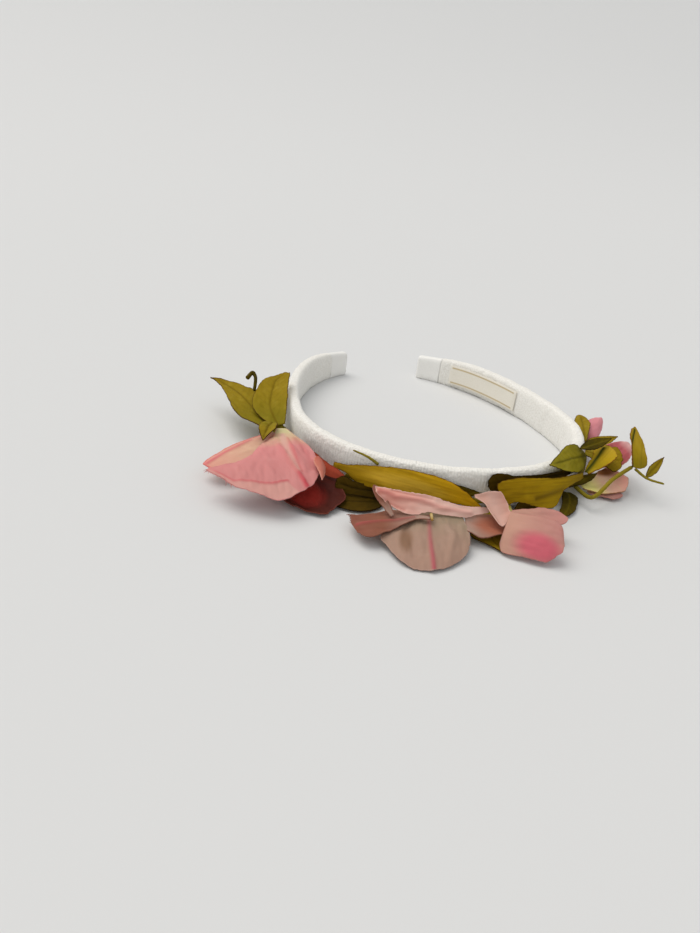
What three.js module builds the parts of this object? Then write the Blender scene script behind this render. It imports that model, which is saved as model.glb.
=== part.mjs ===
// Flower headband lying on its lower edge: a padded band wound with cloth, ribbon tips, a woven label
// and a garland of cloth leaves and blossoms on a taped wire. Millimetres, +Z up, crown toward -Y.
import * as THREE from "three";
import { mergeVertices } from "three/addons/utils/BufferGeometryUtils.js";

// Band: outer half width, outer depth of crown and arms, angle of the ends measured from the crown.
const BAND = { halfWidth: 66, crownDepth: 61.5, armDepth: 100, endAngle: 160, thickness: 6 };
// Strip width at the crown and at the tips, where the narrowing starts, and the flat it rests on.
const STRIP = { crown: 15.5, tip: 12.8, taperFrom: 132, restFlat: 0.5, roundness: 3.4 };
// Ribbon caps over both ends and the woven label on the inner face of the right arm.
const CAP = { fromAngle: 148.5, wall: 0.9 };
const LABEL = { fromAngle: 111, toAngle: 143, width: 10.5, wall: 1.0 };
// Taped wire that runs along the outer face.
const WIRE = { radius: 1.0, up: 4.6, fromAngle: -48, toAngle: 75, stations: 10, steps: 30 };
// Clearance between neighbours and wall of cloth pieces.
const GAP = 0.3;
const WALL = 1.0;
// Fineness of the solids, and of leaves and petals along and across.
const FACETS = { bandSteps: 50, bandSides: 14, stemSides: 7 };
const GRID = { leaf: [7, 4], petal: [8, 5] };
const RAD = Math.PI / 180;

const COLOUR = {
  gauze: "#f3f1ea",
  ribbon: "#f4f3f0",
  label: "#e9e2d0",
  stem: "#7d7a1e",
  leaf: "#8a7d1c",
  leafDark: "#4b4a12",
  rose: "#d98f92",
  blush: "#cfa79b",
  coral: "#a9463c",
  cream: "#e3d8b0",
};

// Band frame: centreline in plan and outward direction at an angle from the crown, which is the origin.
const CROWN_R = BAND.crownDepth - BAND.thickness / 2;
const ARM_R = BAND.armDepth - BAND.thickness / 2;
const SIDE_R = BAND.halfWidth - BAND.thickness / 2;

function onBand(angle, out, up) {
  const t = angle * RAD;
  const depth = Math.cos(t) > 0 ? CROWN_R : ARM_R;
  const normal = new THREE.Vector2(depth * Math.sin(t), -SIDE_R * Math.cos(t)).normalize();
  const x = SIDE_R * Math.sin(t) + normal.x * out;
  const y = CROWN_R - depth * Math.cos(t) + normal.y * out;
  return new THREE.Vector3(x, y, up);
}

function stripWidth(angle) {
  const share = THREE.MathUtils.smoothstep(Math.abs(angle), STRIP.taperFrom, BAND.endAngle);
  return THREE.MathUtils.lerp(STRIP.crown, STRIP.tip, share);
}

// Rounded section of the wound strip, flattened below where it rests.
function bandSection(angle, theta, inset) {
  const power = 2 / STRIP.roundness;
  const round = (value) => Math.sign(value) * Math.abs(value) ** power;
  const height = stripWidth(angle) - 2 * inset;
  const out = (BAND.thickness / 2 - inset) * round(Math.cos(theta));
  const raw = -STRIP.restFlat + (height + STRIP.restFlat) * (0.5 + 0.5 * round(Math.sin(theta)));
  return onBand(angle, out, inset + Math.max(0, raw));
}

// Moves every vertex of a ready-made geometry and closes it again.
function reshape(geometry, place) {
  geometry.deleteAttribute("normal");
  geometry.deleteAttribute("uv");
  const position = geometry.getAttribute("position");
  const point = new THREE.Vector3();
  for (let i = 0; i < position.count; i += 1) {
    point.fromBufferAttribute(position, i);
    const moved = place(point);
    position.setXYZ(i, moved.x, moved.y, moved.z);
  }
  const closed = mergeVertices(geometry, 1e-4);
  closed.computeVertexNormals();
  return closed;
}

function finish(name, geometry, colour, roughness) {
  const material = new THREE.MeshStandardMaterial({ color: colour, roughness, metalness: 0 });
  const mesh = new THREE.Mesh(geometry, material);
  mesh.name = name;
  return mesh;
}

// Band: a closed cylinder whose rings become stations along the band, tucked in under the caps.
function bandMesh() {
  const tucked = CAP.wall + GAP;
  const end = BAND.endAngle - tucked * 0.85;
  const mouth = CAP.fromAngle - 0.4;
  const stations = [];
  for (let step = 0; step <= FACETS.bandSteps; step += 1) {
    stations.push({ angle: THREE.MathUtils.lerp(-mouth, mouth, step / FACETS.bandSteps), inset: 0 });
  }
  for (const angle of [mouth + 0.1, (mouth + end) / 2, end]) {
    stations.push({ angle, inset: tucked });
    stations.unshift({ angle: -angle, inset: tucked });
  }
  const rings = stations.length - 1;
  const geometry = new THREE.CylinderGeometry(1, 1, rings, FACETS.bandSides, rings);
  const placed = reshape(geometry, (p) => {
    const { angle, inset } = stations[Math.round(p.y + rings / 2)];
    const middle = onBand(angle, 0, stripWidth(angle) / 2);
    return middle.lerp(bandSection(angle, Math.atan2(p.z, p.x), inset), Math.hypot(p.x, p.z));
  });
  return finish("band", placed, COLOUR.gauze, 0.9);
}

// Ribbon cap: a lathed cup whose radius picks the inner or outer face and whose height is the angle.
function capMesh(name, side) {
  const inner = 1;
  const outer = 2;
  const floor = BAND.endAngle - CAP.wall * 0.8;
  const middle = (CAP.fromAngle + BAND.endAngle) / 2;
  const profile = [
    new THREE.Vector2(0, floor),
    new THREE.Vector2(inner, floor),
    new THREE.Vector2(inner, middle),
    new THREE.Vector2(inner, CAP.fromAngle),
    new THREE.Vector2(outer, CAP.fromAngle),
    new THREE.Vector2(outer, middle),
    new THREE.Vector2(outer, BAND.endAngle),
    new THREE.Vector2(0, BAND.endAngle),
  ];
  const geometry = new THREE.LatheGeometry(profile, 16);
  const placed = reshape(geometry, (p) => {
    const angle = side * p.y;
    const radius = Math.hypot(p.x, p.z);
    const theta = Math.atan2(side * p.z, p.x);
    if (radius < 0.5) {
      return onBand(angle, 0, stripWidth(angle) / 2);
    }
    return bandSection(angle, theta, radius < 1.5 ? CAP.wall : 0);
  });
  return finish(name, placed, COLOUR.ribbon, 0.35);
}

// Label: a thin plate bent along the inner face.
function labelMesh() {
  const geometry = new THREE.BoxGeometry(1, 1, 1, 12, 1, 1);
  const placed = reshape(geometry, (p) => {
    const angle = THREE.MathUtils.lerp(LABEL.fromAngle, LABEL.toAngle, p.x + 0.5);
    const out = -BAND.thickness / 2 - GAP - LABEL.wall * (0.5 - p.z);
    const up = stripWidth(angle) / 2 + p.y * LABEL.width;
    return onBand(angle, out, up);
  });
  return finish("label", placed, COLOUR.label, 0.7);
}

// Stems: round rods drawn along a smooth path through a few stations.
function stemMesh(name, stations, radius, steps, colour) {
  const path = new THREE.CatmullRomCurve3(stations);
  const ring = new THREE.Shape();
  ring.absarc(0, 0, radius, 0, 2 * Math.PI);
  const options = { steps, extrudePath: path, curveSegments: FACETS.stemSides, bevelEnabled: false };
  const geometry = new THREE.ExtrudeGeometry(ring, options);
  return finish(name, reshape(geometry, (p) => p.clone()), colour, 0.7);
}

// Outlines of blades: share of the half width at a place along the length.
const OUTLINE = {
  leaf: (row, u) => {
    const stretch = Math.log(0.5) / Math.log(row.shoulder);
    const arc = Math.max(0, Math.sin(Math.PI * u ** stretch));
    return Math.max(0.08, arc ** 0.9);
  },
  petal: (row, u) => {
    if (u < row.shoulder) {
      return THREE.MathUtils.lerp(row.claw, 1, u / row.shoulder);
    }
    const past = (u - row.shoulder) / (1 - row.shoulder);
    const arc = Math.max(0, 1 - past ** row.blunt);
    return Math.max(0.08, arc ** (1 / row.blunt));
  },
};

// Blade frame: direction of growth, side and face, turned about the direction of growth.
function bladeFrame(row) {
  const h = row.heading * RAD;
  const p = row.pitch * RAD;
  const along = new THREE.Vector3(Math.cos(p) * Math.cos(h), Math.cos(p) * Math.sin(h), Math.sin(p));
  const side = new THREE.Vector3(Math.sin(h), -Math.cos(h), 0);
  const face = new THREE.Vector3().crossVectors(side, along);
  side.applyAxisAngle(along, row.turn * RAD);
  face.applyAxisAngle(along, row.turn * RAD);
  return { along, side, face };
}

// Left and right edge of a blade across its line of growth, eased between the stations of its rim.
function bladeEdges(row, u) {
  if (!row.rim) {
    const share = OUTLINE[row.outline](row, u);
    return [-row.left * share, row.right * share];
  }
  const { at, left, right } = row.rim;
  const next = Math.max(1, at.findIndex((station) => station >= u));
  const last = next - 1;
  const before = Math.max(0, last - 1);
  const beyond = Math.min(at.length - 1, next + 1);
  const span = at[next] - at[last];
  const t = (u - at[last]) / span;
  return [left, right].map((edge) => {
    const leave = ((edge[next] - edge[before]) / (at[next] - at[before])) * span;
    const arrive = ((edge[beyond] - edge[last]) / (at[beyond] - at[last])) * span;
    const start = edge[last] * (1 + 2 * t) * (1 - t) ** 2 + leave * t * (1 - t) ** 2;
    return start + edge[next] * t * t * (3 - 2 * t) + arrive * t * t * (t - 1);
  });
}

// Point of a blade: u runs from base to tip, v from the left edge to the right edge.
function bladePoint(row, frame, u, v) {
  const [leftEdge, rightEdge] = bladeEdges(row, u);
  const half = (rightEdge - leftEdge) / 2;
  const across = leftEdge + half * (v + 1);
  const bow = 4 * row.arch * u * (1 - u) + row.curl * u ** 3;
  const wave = row.ruffle * Math.sin(7 * u + (v < 0 ? 0 : 2)) * v * v * u;
  const lift = bow + half * (row.cup * v * v + row.fold * Math.abs(v)) + wave;
  return onBand(...row.base)
    .addScaledVector(frame.along, row.length * u)
    .addScaledVector(frame.side, across)
    .addScaledVector(frame.face, lift);
}

// Blade: a thin box whose two broad faces follow the blade surface half a wall apart from it.
function bladeMesh(row, colour, [lengthSteps, widthSteps]) {
  const frame = bladeFrame(row);
  const geometry = new THREE.BoxGeometry(2, 1, 1, widthSteps, lengthSteps, 1);
  const placed = reshape(geometry, (p) => {
    const u = Math.sin((p.y + 0.5) * 90 * RAD);
    const v = p.x;
    const step = 0.01;
    const ahead = Math.min(1, u + step);
    const behind = Math.max(0, u - step);
    const along = bladePoint(row, frame, ahead, v).sub(bladePoint(row, frame, behind, v));
    const across = bladePoint(row, frame, u, v + step).sub(bladePoint(row, frame, u, v - step));
    const normal = across.cross(along).normalize();
    return bladePoint(row, frame, u, v).addScaledVector(normal, p.z * WALL);
  });
  return finish(row.node, placed, colour, 0.85);
}

// Calyx or throat: a lathed cone that widens along its direction of growth.
function calyxMesh(row) {
  const profile = [
    new THREE.Vector2(0, 0),
    new THREE.Vector2(row.foot, 0),
    new THREE.Vector2((row.foot + row.mouth) * 0.42, row.length * 0.5),
    new THREE.Vector2(row.mouth, row.length),
    new THREE.Vector2(0, row.length),
  ];
  const frame = bladeFrame({ ...row, turn: 0 });
  const start = onBand(...row.base);
  const placed = reshape(new THREE.LatheGeometry(profile, 10), (p) =>
    start
      .clone()
      .addScaledVector(frame.along, p.y)
      .addScaledVector(frame.side, p.x)
      .addScaledVector(frame.face, p.z),
  );
  return finish(row.node, placed, COLOUR.cream, 0.85);
}

// What a blade does unless its row says otherwise.
const BLADE = { turn: 0, arch: 0, curl: 0, cup: 0, fold: 0, ruffle: 0 };
const LEAF = { ...BLADE, outline: "leaf", shoulder: 0.42, claw: 0.2, blunt: 2, colour: "leaf" };
const PETAL = { ...BLADE, outline: "petal", shoulder: 0.55, claw: 0.25, blunt: 2, colour: "rose" };

// Leaves. Base on the band as angle, out and up; then growth, half widths or rim, and shape.
// A rim gives the left and right edge across the line of growth at shares of the length.
const LEAVES = [
  { node: "leaf_left_long", base: [-83.3, 8.5, 8.2], heading: 119, pitch: 5, length: 53.5,
    turn: -8, arch: 2, cup: 0.12, ruffle: 0.6, grid: [9, 4],
    rim: {
      at: [0, 0.18, 0.32, 0.53, 0.63, 0.79, 0.92, 1],
      left: [-3.5, -8.5, -10.2, -6.5, -4.4, -1.6, -0.5, -0.3],
      right: [2.2, 6, 8.2, 7.8, 6.8, 4.4, 1.9, 0.4],
    } },
  { node: "leaf_left_upright", base: [-83, 9, 10.3], heading: 88, pitch: 19, length: 37.5,
    turn: -12, curl: -3, cup: 0.1, grid: [9, 4],
    rim: {
      at: [0, 0.23, 0.41, 0.6, 0.8, 0.9, 1],
      left: [-3.5, -9, -10.5, -8.7, -6.2, -3.4, 4.5],
      right: [2.5, 3.8, 4.7, 5.5, 6.3, 7, 7.2],
    } },
  { node: "leaf_left_bract", base: [-82, 12, 12.1], heading: -108, pitch: 3, length: 21,
    left: 3, right: 4, arch: 0.6 },
  { node: "leaf_front_long", base: [-53, 5, 7], heading: -28, pitch: -3, length: 58,
    turn: 60, arch: 11, cup: -0.2, ruffle: 0.4, grid: [11, 4],
    rim: {
      at: [0, 0.1, 0.2, 0.31, 0.48, 0.64, 0.76, 0.88, 1],
      left: [-1.2, -1.2, -2.4, -3.4, -4.9, -5.3, -4.9, -2.9, 0.6],
      right: [1, 1.8, 4.4, 5, 4.6, 3.4, 2.5, 2.1, 1.2],
    } },
  { node: "leaf_front_dark", base: [-30, 6.6, 4.2], heading: 161, pitch: 1, length: 21,
    left: 2.6, right: 1.2, turn: -70, arch: 0.6, colour: "leafDark" },
  { node: "leaf_front_low", base: [-32, 6.6, 1.1], heading: -173, pitch: 0, length: 19.5,
    left: 5, right: 3, colour: "leafDark" },
  { node: "leaf_front_tip", base: [-25, 4.2, 9.2], heading: -14, pitch: -3, length: 26,
    left: 2.6, right: 3.5, turn: 75, arch: 2.5, colour: "leafDark" },
  { node: "leaf_floor", base: [3, 4.1, 1.8], heading: -107, pitch: -1.5, length: 31,
    rim: {
      at: [0, 0.4, 0.75, 0.87, 1],
      left: [-3, -5, -4, -2.5, -0.3],
      right: [3, 8, 10.8, 5.6, 0.2],
    } },
  { node: "leaf_right_broad", base: [42, 7.4, 8.6], heading: -160, pitch: 6, length: 50,
    turn: -65, arch: 6, cup: -0.1, grid: [11, 4],
    rim: {
      at: [0, 0.25, 0.36, 0.42, 0.48, 0.6, 0.85, 0.94, 1],
      left: [-1.5, -3, -4.4, -6.8, -10.2, -11, -7.5, -7.9, -1.5],
      right: [1, 0.6, 0.4, 0.3, 0.3, 0.5, 1.3, 0.7, -0.2],
    } },
  { node: "leaf_right_behind", base: [40, 4.2, 11], heading: -162, pitch: 3, length: 47,
    turn: -80, arch: 4.5, colour: "leafDark",
    rim: {
      at: [0, 0.35, 0.65, 0.78, 0.88, 0.96, 1],
      left: [-1.5, -2, -2, -3, -4.7, -4.6, -2.8],
      right: [1, 1, 1, 1.2, 2.2, 1.8, -0.6],
    } },
  { node: "leaf_right_under", base: [26, 7, 2.6], heading: -156, pitch: -1, length: 24,
    left: 4, right: 1.5, turn: -10, arch: 1, colour: "leafDark" },
  { node: "leaf_right_hang", base: [34.5, 5.2, 2.6], heading: -112, pitch: -5, length: 20,
    colour: "leafDark",
    rim: {
      at: [0, 0.12, 0.5, 0.78, 1],
      left: [-2, -4.5, -3.6, -1.2, 2.4],
      right: [1, 1.5, 2.1, 3.5, 2.8],
    } },
  { node: "leaf_right_over", base: [52, 4.8, 12], heading: -144, pitch: 10, length: 37,
    left: 5.3, right: 6.2, turn: -55, arch: 1.5, cup: -0.1 },
  { node: "leaf_right_edge", base: [44, 3, 18], heading: 18, pitch: 7, length: 18,
    left: 2.5, right: 2.5, turn: 20, colour: "leafDark" },
  { node: "leaf_right_rib", base: [41, 12.2, 10.4], heading: 31, pitch: 25, length: 19, turn: -10,
    rim: {
      at: [0, 0.35, 0.6, 0.8, 1],
      left: [-4.4, -6.7, -7.6, -9, -6.5],
      right: [-3, -1.6, -0.6, -1.2, -5],
    } },
  { node: "leaf_right_side", base: [57, 3.5, 12.4], heading: -33, pitch: 4, length: 15, turn: 20,
    rim: {
      at: [0, 0.55, 0.7, 0.85, 1],
      left: [-2, -2, -5, -5, -0.5],
      right: [3, 7.7, 9.5, 10.4, 7],
    } },
  { node: "leaf_trail_up", base: [52, 22.8, 13.4], heading: 65, pitch: 34, length: 20, turn: 40,
    rim: {
      at: [0, 0.07, 0.2, 0.32, 0.57, 0.84, 1],
      left: [-0.4, -0.5, -0.8, -1.1, -1.9, -1.8, 0.4],
      right: [1, 4.8, 8.5, 10.3, 9.4, 6.1, 1.4],
    } },
  { node: "leaf_trail_fork", base: [52, 29.5, 11.2], heading: 34, pitch: 15, length: 16,
    left: 1.8, right: 2, turn: 40 },
  { node: "leaf_bud_up", base: [71, 4.4, 11], heading: 66, pitch: 2, length: 30,
    left: 2.8, right: 4.2, turn: -10, outline: "petal", shoulder: 0.65 },
  { node: "leaf_bud_side", base: [70, 4.2, 9], heading: 18, pitch: 4, length: 22,
    left: 3, right: 3, turn: 20 },
];

// Petals, by blossom from the left.
const PETALS = [
  { node: "petal_1_top", base: [-79, 8.9, 10.7], heading: -87, pitch: -4, length: 52.5,
    arch: 3.4, cup: -0.04, ruffle: 0.5, grid: [13, 8],
    rim: {
      at: [0, 0.22, 0.37, 0.5, 0.58, 0.655, 0.76, 0.88, 1],
      left: [-1.4, -3.3, -6.5, -7.4, -7.6, -7.5, -5.4, -1, 9],
      right: [2.5, 6.8, 13, 17, 22.5, 33.4, 29.5, 24, 11.5],
    } },
  { node: "petal_1_back", base: [-79, 13.2, 9.4], heading: -143, pitch: -5.3, length: 36.5,
    arch: 0.5, colour: "cream",
    rim: {
      at: [0, 0.3, 0.5, 0.65, 0.88, 1],
      left: [-3, -5, -8.6, -8.8, -5.4, -3.2],
      right: [-0.5, -1.6, -1.7, -1.4, -1.9, -2.6],
    } },
  { node: "petal_1_side", base: [-72, 7.3, 7.4], heading: -58, pitch: -4, length: 30,
    turn: 65, arch: 5, colour: "coral",
    rim: {
      at: [0, 0.5, 0.7, 0.84, 0.94, 1],
      left: [-2.6, -2.7, -2, -1.6, -1.1, -0.4],
      right: [1.2, 2, 2.5, 2.5, 1.6, 0.4],
    } },
  { node: "petal_1_low", base: [-77, 10.4, 4], heading: -80, pitch: -3, length: 51,
    cup: 0.1, colour: "coral",
    rim: {
      at: [0, 0.3, 0.6, 0.75, 0.88, 1],
      left: [-2.5, -8, -13, -12, -10.2, -1.5],
      right: [2.5, 8, 12.5, 12.2, 9.8, 1.5],
    } },
  { node: "petal_2_low", base: [-20, 21.5, 6], heading: -105, pitch: -11, length: 27,
    arch: 1, cup: -0.1, ruffle: 0.5, colour: "blush",
    rim: {
      at: [0, 0.2, 0.4, 0.54, 0.63, 0.78, 0.9, 1],
      left: [-10.8, -13, -14.4, -13.8, -12.8, -9.6, -6.2, -1.4],
      right: [8, 11, 14.4, 15.6, 13.6, 11.2, 8.8, 4.6],
    } },
  { node: "petal_2_left", base: [-19.8, 25.3, 8.2], heading: 169, pitch: -7, length: 26.5,
    fold: -0.2, colour: "blush",
    rim: {
      at: [0, 0.15, 0.3, 0.47, 0.65, 0.78, 0.9, 1],
      left: [-3.5, -8, -9.8, -11, -11.2, -10.4, -8.2, -4.5],
      right: [-2, -0.8, 0.4, 2.2, 3.7, 3.9, 3.3, 2.9],
    } },
  { node: "petal_2_lip", base: [-4, 16.4, 8], heading: 178, pitch: 5, length: 42,
    turn: -50, arch: 1.5, grid: [11, 5],
    rim: {
      at: [0, 0.1, 0.22, 0.4, 0.56, 0.7, 0.8, 0.9, 1],
      left: [-1.5, -2.6, -4, -4, -3.6, -4.8, -3.8, -1.2, 2.5],
      right: [0.3, 0.2, -0.2, 0.9, 2.5, 3, 3.4, 3.8, 4.2],
    } },
  { node: "petal_2_sliver", base: [-27.6, 29.2, 7.6], heading: 112, pitch: 25, length: 13.5,
    left: 1.2, right: 1.2, turn: -40, colour: "blush" },
  { node: "petal_2_right", base: [-9.5, 20.6, 9], heading: 1, pitch: 3, length: 14.2,
    turn: 30, cup: 0.25, colour: "blush",
    rim: {
      at: [0, 0.4, 0.48, 0.6, 0.77, 0.9, 1],
      left: [-6.2, -6.5, -6.5, -6.4, -6.2, -5.6, -2.6],
      right: [-5, -2, 3, 7.4, 6.2, 4.2, 1.2],
    } },
  { node: "petal_2_fold", base: [-10.6, 21.5, 5.4], heading: -14, pitch: -3, length: 18,
    turn: 4, colour: "blush",
    rim: {
      at: [0, 0.25, 0.55, 0.85, 1],
      left: [-3, -5, -6, -5, -1.5],
      right: [6, 8, 6.5, 2, -0.5],
    } },
  { node: "petal_3_front", base: [-2.2, 26.9, 8], heading: -35, pitch: -2, length: 20.2,
    turn: 35, arch: 2, cup: -0.25,
    rim: {
      at: [0, 0.06, 0.15, 0.35, 0.6, 0.8, 0.9, 1],
      left: [-6, -6, -5.8, -6.3, -7.1, -7.2, -5, 1.2],
      right: [7, 9.5, 10.2, 9.8, 9.3, 8.6, 6.5, 3.6],
    } },
  { node: "petal_3_back", base: [2, 18.4, 7.6], heading: -21, pitch: 3, length: 21,
    left: 4, right: 4, turn: 20 },
  { node: "petal_4_front", base: [42, 6.8, 4.8], heading: 9, pitch: 2, length: 25,
    turn: 20, colour: "cream",
    rim: {
      at: [0, 0.28, 0.6, 0.75, 0.87, 1],
      left: [-1, -2.4, -5, -5.4, -3.2, 0.6],
      right: [3.5, 7.6, 7.6, 7.2, 5, 1.4],
    } },
  { node: "petal_4_up", base: [52, 8, 8.2], heading: 25, pitch: 12, length: 26.5,
    left: 5, right: 6, turn: 30 },
  { node: "petal_4_low", base: [43, 11, 1.6], heading: -4, pitch: -1, length: 13,
    left: 4, right: 2.5 },
  { node: "petal_5_bud", base: [75, 6, 6.2], heading: 46, pitch: 13, length: 28,
    left: 5.2, right: 3.4, turn: 20, cup: -0.4 },
];

// Calyces and throats: radius at the foot and at the mouth.
const CALYCES = [
  { node: "calyx_1", base: [-87, 6.9, 4.8], heading: -96, pitch: 0, length: 11.2, foot: 3.2, mouth: 2.6 },
  { node: "calyx_2", base: [-27, 6.4, 3.2], heading: -79, pitch: 7, length: 16, foot: 1.1, mouth: 2.3 },
  { node: "calyx_3", base: [6, 6.2, 4.8], heading: -113, pitch: 4, length: 13, foot: 1, mouth: 2 },
];

// Side stems through a few stations on the band, each angle, out and up.
const STEMS = [
  { node: "stem_trail", radius: 0.8, steps: 18,
    via: [[38, 6.8, 4.6], [34, 16.4, 5.4], [44, 18.5, 10], [53.5, 22.9, 12.2]] },
  { node: "stem_fork", radius: 0.6, steps: 8, via: [[53.2, 24.2, 11.9], [52, 29.6, 10], [53, 36.4, 9]] },
  { node: "twig", radius: 0.6, steps: 6, via: [[-37, 4, 13], [-41, 4.1, 14.8], [-46, 5.4, 16.2]] },
  { node: "stamen", radius: 0.7, steps: 4, colour: "cream",
    via: [[-17.5, 23.4, 7.8], [-17.5, 25.4, 8.2], [-17.2, 27.4, 7.6]] },
  { node: "tendril", radius: 0.7, steps: 10,
    via: [[-99, 17.2, 15.6], [-103, 17.2, 19.4], [-104, 18.5, 20.5], [-102, 20.7, 19]] },
];

const headband = new THREE.Group();
headband.name = "flower_headband";
headband.add(bandMesh(), capMesh("tip_cap_left", -1), capMesh("tip_cap_right", 1), labelMesh());

const wireOut = BAND.thickness / 2 + GAP + WIRE.radius + 0.2;
const wireStations = [];
for (let step = 0; step <= WIRE.stations; step += 1) {
  const angle = THREE.MathUtils.lerp(WIRE.fromAngle, WIRE.toAngle, step / WIRE.stations);
  wireStations.push(onBand(angle, wireOut, WIRE.up));
}
headband.add(stemMesh("garland_stem", wireStations, WIRE.radius, WIRE.steps, COLOUR.stem));

for (const row of STEMS) {
  const stations = row.via.map((station) => onBand(...station));
  headband.add(stemMesh(row.node, stations, row.radius, row.steps, COLOUR[row.colour ?? "stem"]));
}
for (const row of CALYCES) {
  headband.add(calyxMesh(row));
}
for (const row of LEAVES) {
  const leaf = { ...LEAF, ...row };
  headband.add(bladeMesh(leaf, COLOUR[leaf.colour], leaf.grid ?? GRID.leaf));
}
for (const row of PETALS) {
  const petal = { ...PETAL, ...row };
  headband.add(bladeMesh(petal, COLOUR[petal.colour], petal.grid ?? GRID.petal));
}

export default headband;
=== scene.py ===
"""Flower headband: gauze, ribbon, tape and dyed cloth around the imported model, in metres with +Z up."""
import logging
import math
from dataclasses import dataclass
from enum import Enum
from typing import Callable, Iterable

import bpy
from mathutils import Matrix, Quaternion, Vector, noise


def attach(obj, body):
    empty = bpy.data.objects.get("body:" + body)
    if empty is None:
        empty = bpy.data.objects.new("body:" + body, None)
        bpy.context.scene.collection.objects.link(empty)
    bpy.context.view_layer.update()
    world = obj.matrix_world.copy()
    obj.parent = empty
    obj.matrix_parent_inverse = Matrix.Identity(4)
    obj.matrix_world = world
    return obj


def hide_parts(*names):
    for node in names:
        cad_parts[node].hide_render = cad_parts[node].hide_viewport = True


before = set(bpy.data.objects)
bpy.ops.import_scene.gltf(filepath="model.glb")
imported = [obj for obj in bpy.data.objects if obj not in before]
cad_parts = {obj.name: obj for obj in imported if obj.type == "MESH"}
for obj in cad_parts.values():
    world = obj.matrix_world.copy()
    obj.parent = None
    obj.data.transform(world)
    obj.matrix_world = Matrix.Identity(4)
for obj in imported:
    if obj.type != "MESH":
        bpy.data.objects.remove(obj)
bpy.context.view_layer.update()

log = logging.getLogger("flower_headband")

MM = 0.001
TURN = 2.0 * math.pi
SEAM_GAP = 2e-6
FIBRE_IOR = 1.45

Pair = tuple[float, float]
Triple = tuple[float, float, float]
Row = tuple[float, ...]
Place = Callable[[float, float], Vector]
Marks = Callable[[float, float], dict[str, float]]
Tree = bpy.types.NodeTree
Socket = bpy.types.NodeSocket


class Side(Enum):
    """Arms of the band, each with the sign of its angles."""

    LEFT = -1.0
    RIGHT = 1.0


class Seed(Enum):
    """Seeds of the noises. A blade adds those of its streaks and wrinkles to its own seed."""

    RIBS = 3.0
    STREAKS = 4.0
    CAP = 5.0
    FOLDS = 7.0
    WRINKLES = 9.0
    PEBBLES = 11.0
    TURNS = 17.0
    LABEL = 21.0
    THREADS = 31.0


class Slot(Enum):
    """Kinds of finish."""

    GAUZE = "gauze"
    RIBBON = "ribbon"
    LABEL = "label"
    LEAF = "leaf"
    LEAF_DARK = "leaf_dark"
    PETAL_ROSE = "petal_rose"
    PETAL_CREAM = "petal_cream"
    PETAL_CORAL = "petal_coral"
    PETAL_BLUSH = "petal_blush"
    STEM = "stem"
    CALYX = "calyx"


def linear(code: str) -> tuple[float, float, float, float]:
    """Turns an sRGB hex value into a linear colour.

    Args:
        code: colour such as "#8c7c1a".

    Returns:
        Red, green, blue and a full alpha.
    """
    shares = [int(code[i : i + 2], 16) / 255.0 for i in (1, 3, 5)]
    curve = [c / 12.92 if c <= 0.04045 else ((c + 0.055) / 1.055) ** 2.4 for c in shares]
    return (curve[0], curve[1], curve[2], 1.0)


def ease(low: float, high: float, value: float) -> float:
    """Gives a smooth step.

    Args:
        low: where it starts, at 0.
        high: where it ends, at 1.
        value: where it is read.

    Returns:
        A share from 0 to 1.
    """
    share = min(1.0, max(0.0, (value - low) / (high - low)))
    return share * share * (3.0 - 2.0 * share)


def bumpy(x: float, y: float, seed: float) -> float:
    """Gives a repeatable smooth noise.

    Args:
        x: first coordinate, in steps of the noise.
        y: second coordinate.
        seed: which noise it is.

    Returns:
        A value between about -1 and 1.
    """
    return noise.noise(Vector((x, y, seed)))


def add_node(
    tree: Tree,
    kind: str,
    values: dict | None = None,
    links: dict | None = None,
    **settings: object,
) -> bpy.types.Node:
    """Adds a node with its settings, input values and links.

    Args:
        tree: the node tree that takes it.
        kind: the node's type.
        values: input name or number to a constant.
        links: input name or number to the output that feeds it.
        settings: properties of the node itself.

    Returns:
        The new node.
    """
    node = tree.nodes.new(kind)
    for name, value in settings.items():
        setattr(node, name, value)
    for key, value in (values or {}).items():
        node.inputs[key].default_value = value
    for key, source in (links or {}).items():
        tree.links.new(source, node.inputs[key])
    return node


def tell(piece: bpy.types.Object, doing: str) -> None:
    """Reports a finished piece.

    Args:
        piece: the dressed mesh.
        doing: what it is.
    """
    log.info("%s: %s, %d faces", piece.name, doing, len(piece.data.polygons))


def modelled(name: str, columns: int, rows: int, place: Place, marks: Marks) -> bpy.types.Object:
    """Lays a grid and moves every vertex of it to its place.

    Args:
        name: name of the piece.
        columns: faces across.
        rows: faces along.
        place: gives the point in millimetres for x and y from 0 to 1.
        marks: gives named values that the finish reads, for the same x and y.

    Returns:
        The open sheet.
    """
    bpy.ops.object.select_all(action="DESELECT")
    bpy.ops.mesh.primitive_grid_add(x_subdivisions=columns, y_subdivisions=rows, size=1.0)
    piece = bpy.context.object
    piece.name = name
    piece.data.name = name
    values: dict[str, list[float]] = {}
    for vertex in piece.data.vertices:
        x, y = vertex.co.x + 0.5, vertex.co.y + 0.5
        for key, value in marks(x, y).items():
            values.setdefault(key, []).append(value)
        vertex.co = place(x, y) * MM
    for key, column in values.items():
        layer = piece.data.attributes.new(key, "FLOAT", "POINT")
        layer.data.foreach_set("value", column)
    bpy.ops.object.shade_smooth()
    return piece


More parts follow.
